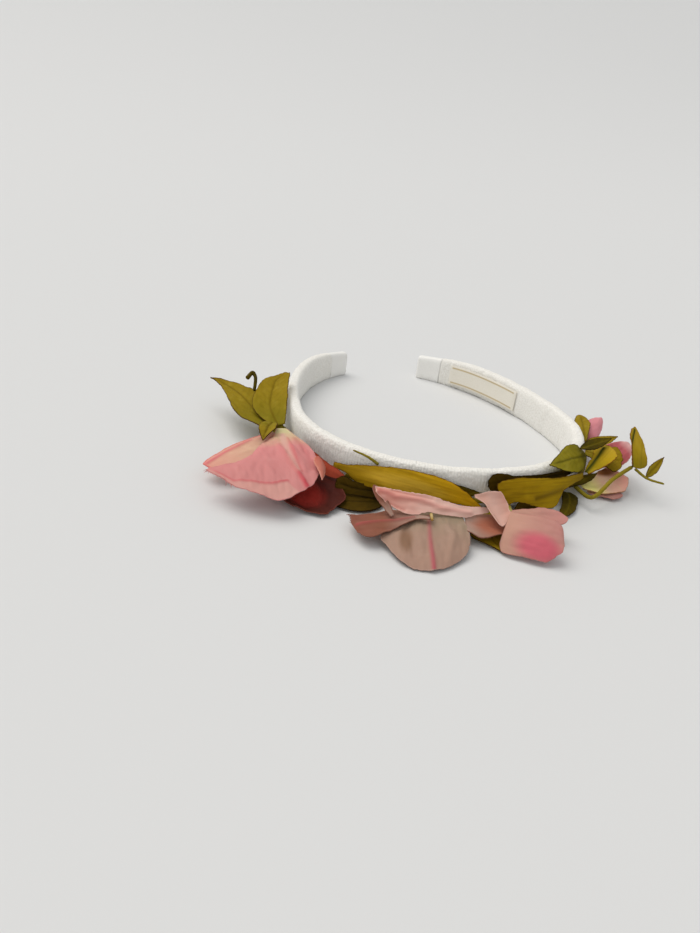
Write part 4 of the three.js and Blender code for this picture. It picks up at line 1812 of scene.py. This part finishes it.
        left = self.petal(
            "petal_2_left", (-19.8, 25.3, 8.2), (169, -7, 26.5),
            Rim(at=(0, 0.17, 0.32, 0.46, 0.55, 0.63, 0.76, 0.88, 0.96, 1),
                left=(-2.6, -2, -3.6, -5.8, -7.4, -9, -10.7, -10, -6.1, -3.5),
                right=(-1, 1.5, 4.2, 6.4, 6, 4.8, 4.2, 3.4, 3, 2.9)),
            fold=-0.2, finish=BLUSH_DEEP, creases=(pleat, tuck), crumple=0.4,
        )
        yield left
        yield Fringe("petal_2_threads", left, (1.0, -0.95), (1.0, 0.95), count=20, length=1.6)
        wave = Crease(
            ((40.6, 3.0), (35.3, 0.9), (26.5, 0.5), (19.1, -1.6), (7.6, -2.3)), width=0.9, height=0.6,
            dye=(0.7, 0.3),
        )
        near = Crease(((41.0, 1.5), (37.0, -1.5), (32.0, -3.5)), width=0.7, height=-0.6, dye=(0.5, 0.2))
        far = Crease(((36.0, 3.2), (29.0, 2.0), (22.0, 1.2)), width=0.7, height=-0.5, dye=(0.5, 0.1))
        yield self.petal(
            "petal_2_lip", (-4, 16.4, 8), (178, 5, 42),
            Rim(at=(0, 0.1, 0.22, 0.4, 0.56, 0.7, 0.8, 0.9, 1),
                left=(-1.5, -2.6, -4, -4, -3.6, -4.8, -3.8, -1.2, 2.5),
                right=(0.3, 0.2, -0.2, 0.9, 2.5, 3, 3.4, 3.8, 4.2)),
            turn=-50, arch=1.5, finish=LIP, creases=(wave, near, far), fray=0.3, crumple=0.45,
            fold_mm=2.2, columns=64, rows=120,
        )
        yield self.petal(
            "petal_2_sliver", (-27.6, 29.2, 7.6), (112, 25, 13.5), Spoon(1.6, 1.6, 0.55, 0.5), turn=-40,
            fold=0.4, finish=BLUSH_DEEP,
        )
        yield self.petal(
            "petal_2_right", (-7.4, 20.1, 9.2), (1, 3, 11.2),
            Rim(at=(0, 0.24, 0.34, 0.49, 0.71, 0.87, 1),
                left=(-6.4, -6.5, -6.5, -6.4, -6.2, -5.6, -2.6),
                right=(-5.2, -2, 3, 7.4, 6.2, 4.2, 1.2)),
            turn=30, cup=0.25, finish=LIP_SHADE, crumple=0.4, fold_mm=2.5, columns=64, rows=80,
        )
        yield self.petal(
            "petal_2_fold", (-10.6, 21.5, 5.4), (-14, -3, 18),
            Rim(at=(0, 0.25, 0.55, 0.85, 1), left=(-3, -5, -6, -5, -1.5), right=(6, 8, 6.5, 2, -0.5)),
            turn=4, finish=BLUSH_DEEP, blots=(DyeAndLightPatch((10.0, 1.5), (8.0, 6.0)),), pleats=9.0, pleat_mm=0.5,
        )

    def right_blossoms(self) -> Iterable[Blade]:
        """Gives the petals of the blossoms at the right and of the bud.

        Returns:
            The pieces, in the order that they are made.
        """
        yield self.petal(
            "petal_3_front", (-2.2, 26.9, 8), (-35, -2, 20.2),
            Rim(at=(0, 0.06, 0.15, 0.35, 0.6, 0.8, 0.9, 1),
                left=(-6, -6, -5.8, -6.3, -7.1, -7.2, -5, 1.2),
                right=(7, 9.5, 10.2, 9.8, 9.3, 8.6, 6.5, 3.6)),
            turn=35, arch=2, cup=-0.25, finish=PINK, blots=(DyeAndLightPatch((12.6, 5.2), (8.6, 5.2)),), crumple=0.5,
            fold_mm=5.0, pleats=7.0, pleat_mm=0.3, columns=64, rows=72,
        )
        yield self.petal(
            "petal_3_back", (2, 18.4, 7.6), (-21, 3, 19.5), Spoon(4, 4), turn=20, finish=PINK,
            crumple=0.4,
        )
        yield self.petal(
            "petal_4_front", (42, 6.8, 4.8), (9, 2, 25),
            Rim(at=(0, 0.28, 0.6, 0.75, 0.87, 1),
                left=(-1, -2.4, -5, -5.4, -3.2, 0.6),
                right=(3.5, 7.6, 7.6, 7.2, 5, 1.4)),
            turn=20, finish=THROAT, blots=(DyeAndLightPatch((15.0, -3.4), (6.0, 2.6)),), pleats=9.0, pleat_mm=0.4,
        )
        yield self.petal(
            "petal_4_up", (52, 8, 8.2), (25, 12, 26.5), Spoon(5, 6), turn=30, finish=BUD_PALE, pleats=6.0,
            pleat_mm=0.4, crumple=0.5,
        )
        yield self.petal(
            "petal_4_low", (43, 11, 1.6), (-4, -1, 15), Spoon(4, 5), crumple=0.2, finish=PINK,
        )
        yield self.petal(
            "petal_5_bud", (75, 6, 6.2), (46, 13, 28), Spoon(5.2, 3.4), turn=20, cup=-0.4, finish=BUD,
            pleats=6.0, pleat_mm=0.4, crumple=0.5,
        )

    def stems(self) -> Iterable[Stem]:
        """Gives the main wire and the side stems.

        Returns:
            The pieces, in the order that they are made.
        """
        span = self.wire_to - self.wire_from
        angles = [self.wire_from + span * i / self.wire_points for i in range(self.wire_points + 1)]
        wire = tuple((angle, self.wire_out, self.wire_up) for angle in angles)
        yield Stem(self.path, "garland_stem", radius=1.0, via=wire)
        yield Stem(
            self.path, "stem_trail", radius=0.8,
            via=((38, 6.8, 4.6), (34, 16.4, 5.4), (44, 18.5, 10), (53.5, 22.9, 12.2)),
        )
        yield Stem(
            self.path, "stem_fork", radius=0.6, via=((53.2, 24.2, 11.9), (52, 29.6, 10), (53, 36.4, 9)),
            taper=0.3,
        )
        yield Stem(
            self.path, "twig", radius=0.6, via=((-37, 4, 13), (-41, 4.1, 14.8), (-46, 5.4, 16.2)),
            taper=0.5,
        )
        yield Stem(
            self.path, "stamen", radius=0.55,
            via=((-19.2, 23.2, 7.6), (-19.2, 25.2, 8.0), (-19.0, 27.2, 7.4)), finish=STAMEN,
        )
        yield Stem(
            self.path, "tendril", radius=0.7,
            via=((-99, 17.2, 15.6), (-103, 17.2, 19.4), (-104, 18.5, 20.5), (-102, 20.7, 19)), taper=-0.4,
            finish=LEAF_DARK,
        )

    def calyces(self) -> Iterable[Calyx]:
        """Gives the taped throats of three blossoms.

        Returns:
            The pieces, in the order that they are made.
        """
        yield Calyx(
            self.path, "calyx_1", (-87, 6.9, 4.8), heading=-96, pitch=0, length=11.2, foot=3.2, mouth=2.6,
        )
        yield Calyx(
            self.path, "calyx_2", (-27, 6.4, 3.2), heading=-79, pitch=7, length=16, foot=1.1, mouth=2.3,
        )
        yield Calyx(
            self.path, "calyx_3", (6, 6.2, 4.8), heading=-113, pitch=4, length=13, foot=1, mouth=2,
        )


@dataclass(frozen=True)
class Studio:
    """Pale floor that rises slowly behind, soft light and the camera.

    The floor and the nearest distance seen are in metres, the lens, its sensor and the camera's place
    in millimetres.
    """

    floor_colour: str = "#d9dada"
    floor_roughness: float = 0.8
    floor_rows: int = 400
    width: float = 80.0
    front: float = 30.0
    level: float = 0.5
    rise: float = 14.0
    slope: float = 0.36
    sky_colour: str = "#eef1f4"
    sky: float = 0.48
    sky_seen: float = 0.81
    lamp_colour: str = "#fffaf4"
    key_power: float = 1.55
    key_spread: float = 50.0
    key_from: Triple = (-0.38, 0.45, 1.0)
    fill_power: float = 0.75
    fill_spread: float = 120.0
    fill_from: Triple = (-0.5, -0.6, 0.9)
    lens: float = 27.0
    sensor: float = 36.0
    nearest: float = 0.01
    eye: Triple = (-114.75, -213.8, 122.75)
    ahead: Triple = (0.2487, 0.8671, -0.4316)
    up: Triple = (-0.0054, 0.4468, 0.8946)

    def floor(self) -> None:
        """Lays the floor, level under the object and rising slowly behind it."""
        bpy.ops.object.select_all(action="DESELECT")
        bpy.ops.mesh.primitive_grid_add(x_subdivisions=2, y_subdivisions=self.floor_rows, size=1.0)
        floor = bpy.context.object
        floor.name = "floor"
        for vertex in floor.data.vertices:
            y = (vertex.co.y + 0.5) * (self.front + self.level + self.rise) - self.front
            far = max(0.0, y - self.level)
            z = self.slope * far * ease(0.0, 0.5 * self.rise, far)
            vertex.co = Vector((vertex.co.x * self.width, y, z))
        bpy.ops.object.shade_smooth()
        paper = bpy.data.materials.new("matt_paper_floor")
        paper.use_nodes = True
        shader = paper.node_tree.nodes["Principled BSDF"]
        shader.inputs["Base Color"].default_value = linear(self.floor_colour)
        shader.inputs["Roughness"].default_value = self.floor_roughness
        floor.data.materials.append(paper)

    def lamp(self, name: str, power: float, spread: float, comes_from: Triple) -> None:
        """Adds a soft light.

        Args:
            name: name of the light.
            power: strength.
            spread: how wide it is, in degrees.
            comes_from: direction that it shines from.
        """
        lamp = bpy.data.lights.new(name, "SUN")
        lamp.energy = power
        lamp.angle = math.radians(spread)
        lamp.color = linear(self.lamp_colour)[:3]
        holder = bpy.data.objects.new(name, lamp)
        place = Vector(comes_from)
        holder.matrix_world = Matrix.LocRotScale(place, place.to_track_quat("Z", "Y"), None)
        bpy.context.scene.collection.objects.link(holder)

    def light(self) -> None:
        """Sets a soft light from behind, a weak wide one from the front and an even surround.

        The camera sees the surround in the tone of the floor, so the floor's edge stays quiet.
        """
        self.lamp("key_light", self.key_power, self.key_spread, self.key_from)
        self.lamp("fill_light", self.fill_power, self.fill_spread, self.fill_from)
        world = bpy.data.worlds.new("surround")
        world.use_nodes = True
        tree = world.node_tree
        rays = add_node(tree, "ShaderNodeLightPath").outputs["Is Camera Ray"]
        power = Finish.fit(tree, {"To Min": self.sky, "To Max": self.sky_seen}, {"Value": rays})
        back = tree.nodes["Background"]
        back.inputs["Color"].default_value = linear(self.sky_colour)
        tree.links.new(power, back.inputs["Strength"])
        bpy.context.scene.world = world

    def camera(self) -> None:
        """Places the camera."""
        lens = bpy.data.cameras.new("camera")
        lens.lens = self.lens
        lens.sensor_width = self.sensor
        lens.sensor_fit = "AUTO"
        lens.clip_start = self.nearest
        holder = bpy.data.objects.new("camera", lens)
        back = -Vector(self.ahead).normalized()
        right = Vector(self.up).cross(back).normalized()
        turned = Matrix((right, back.cross(right), back)).transposed().to_4x4()
        holder.matrix_world = Matrix.Translation(Vector(self.eye) * MM) @ turned
        bpy.context.scene.collection.objects.link(holder)
        bpy.context.scene.camera = holder

    def build(self) -> None:
        """Sets up the studio."""
        self.floor()
        self.light()
        self.camera()
        bpy.context.scene.view_settings.view_transform = "Standard"


def main() -> None:
    """Builds the headband piece by piece and dresses each one."""
    logging.basicConfig(level=logging.INFO, format="%(name)s: %(message)s")
    path = BandPath()
    Studio().build()
    band = Band(path)
    caps = [TipCap("tip_cap_left", Side.LEFT, band), TipCap("tip_cap_right", Side.RIGHT, band)]
    for part in (band, *caps, WovenLabel(path, band), *Garland(path).parts()):
        part.dress(part.build())


if __name__ == "__main__":
    main()
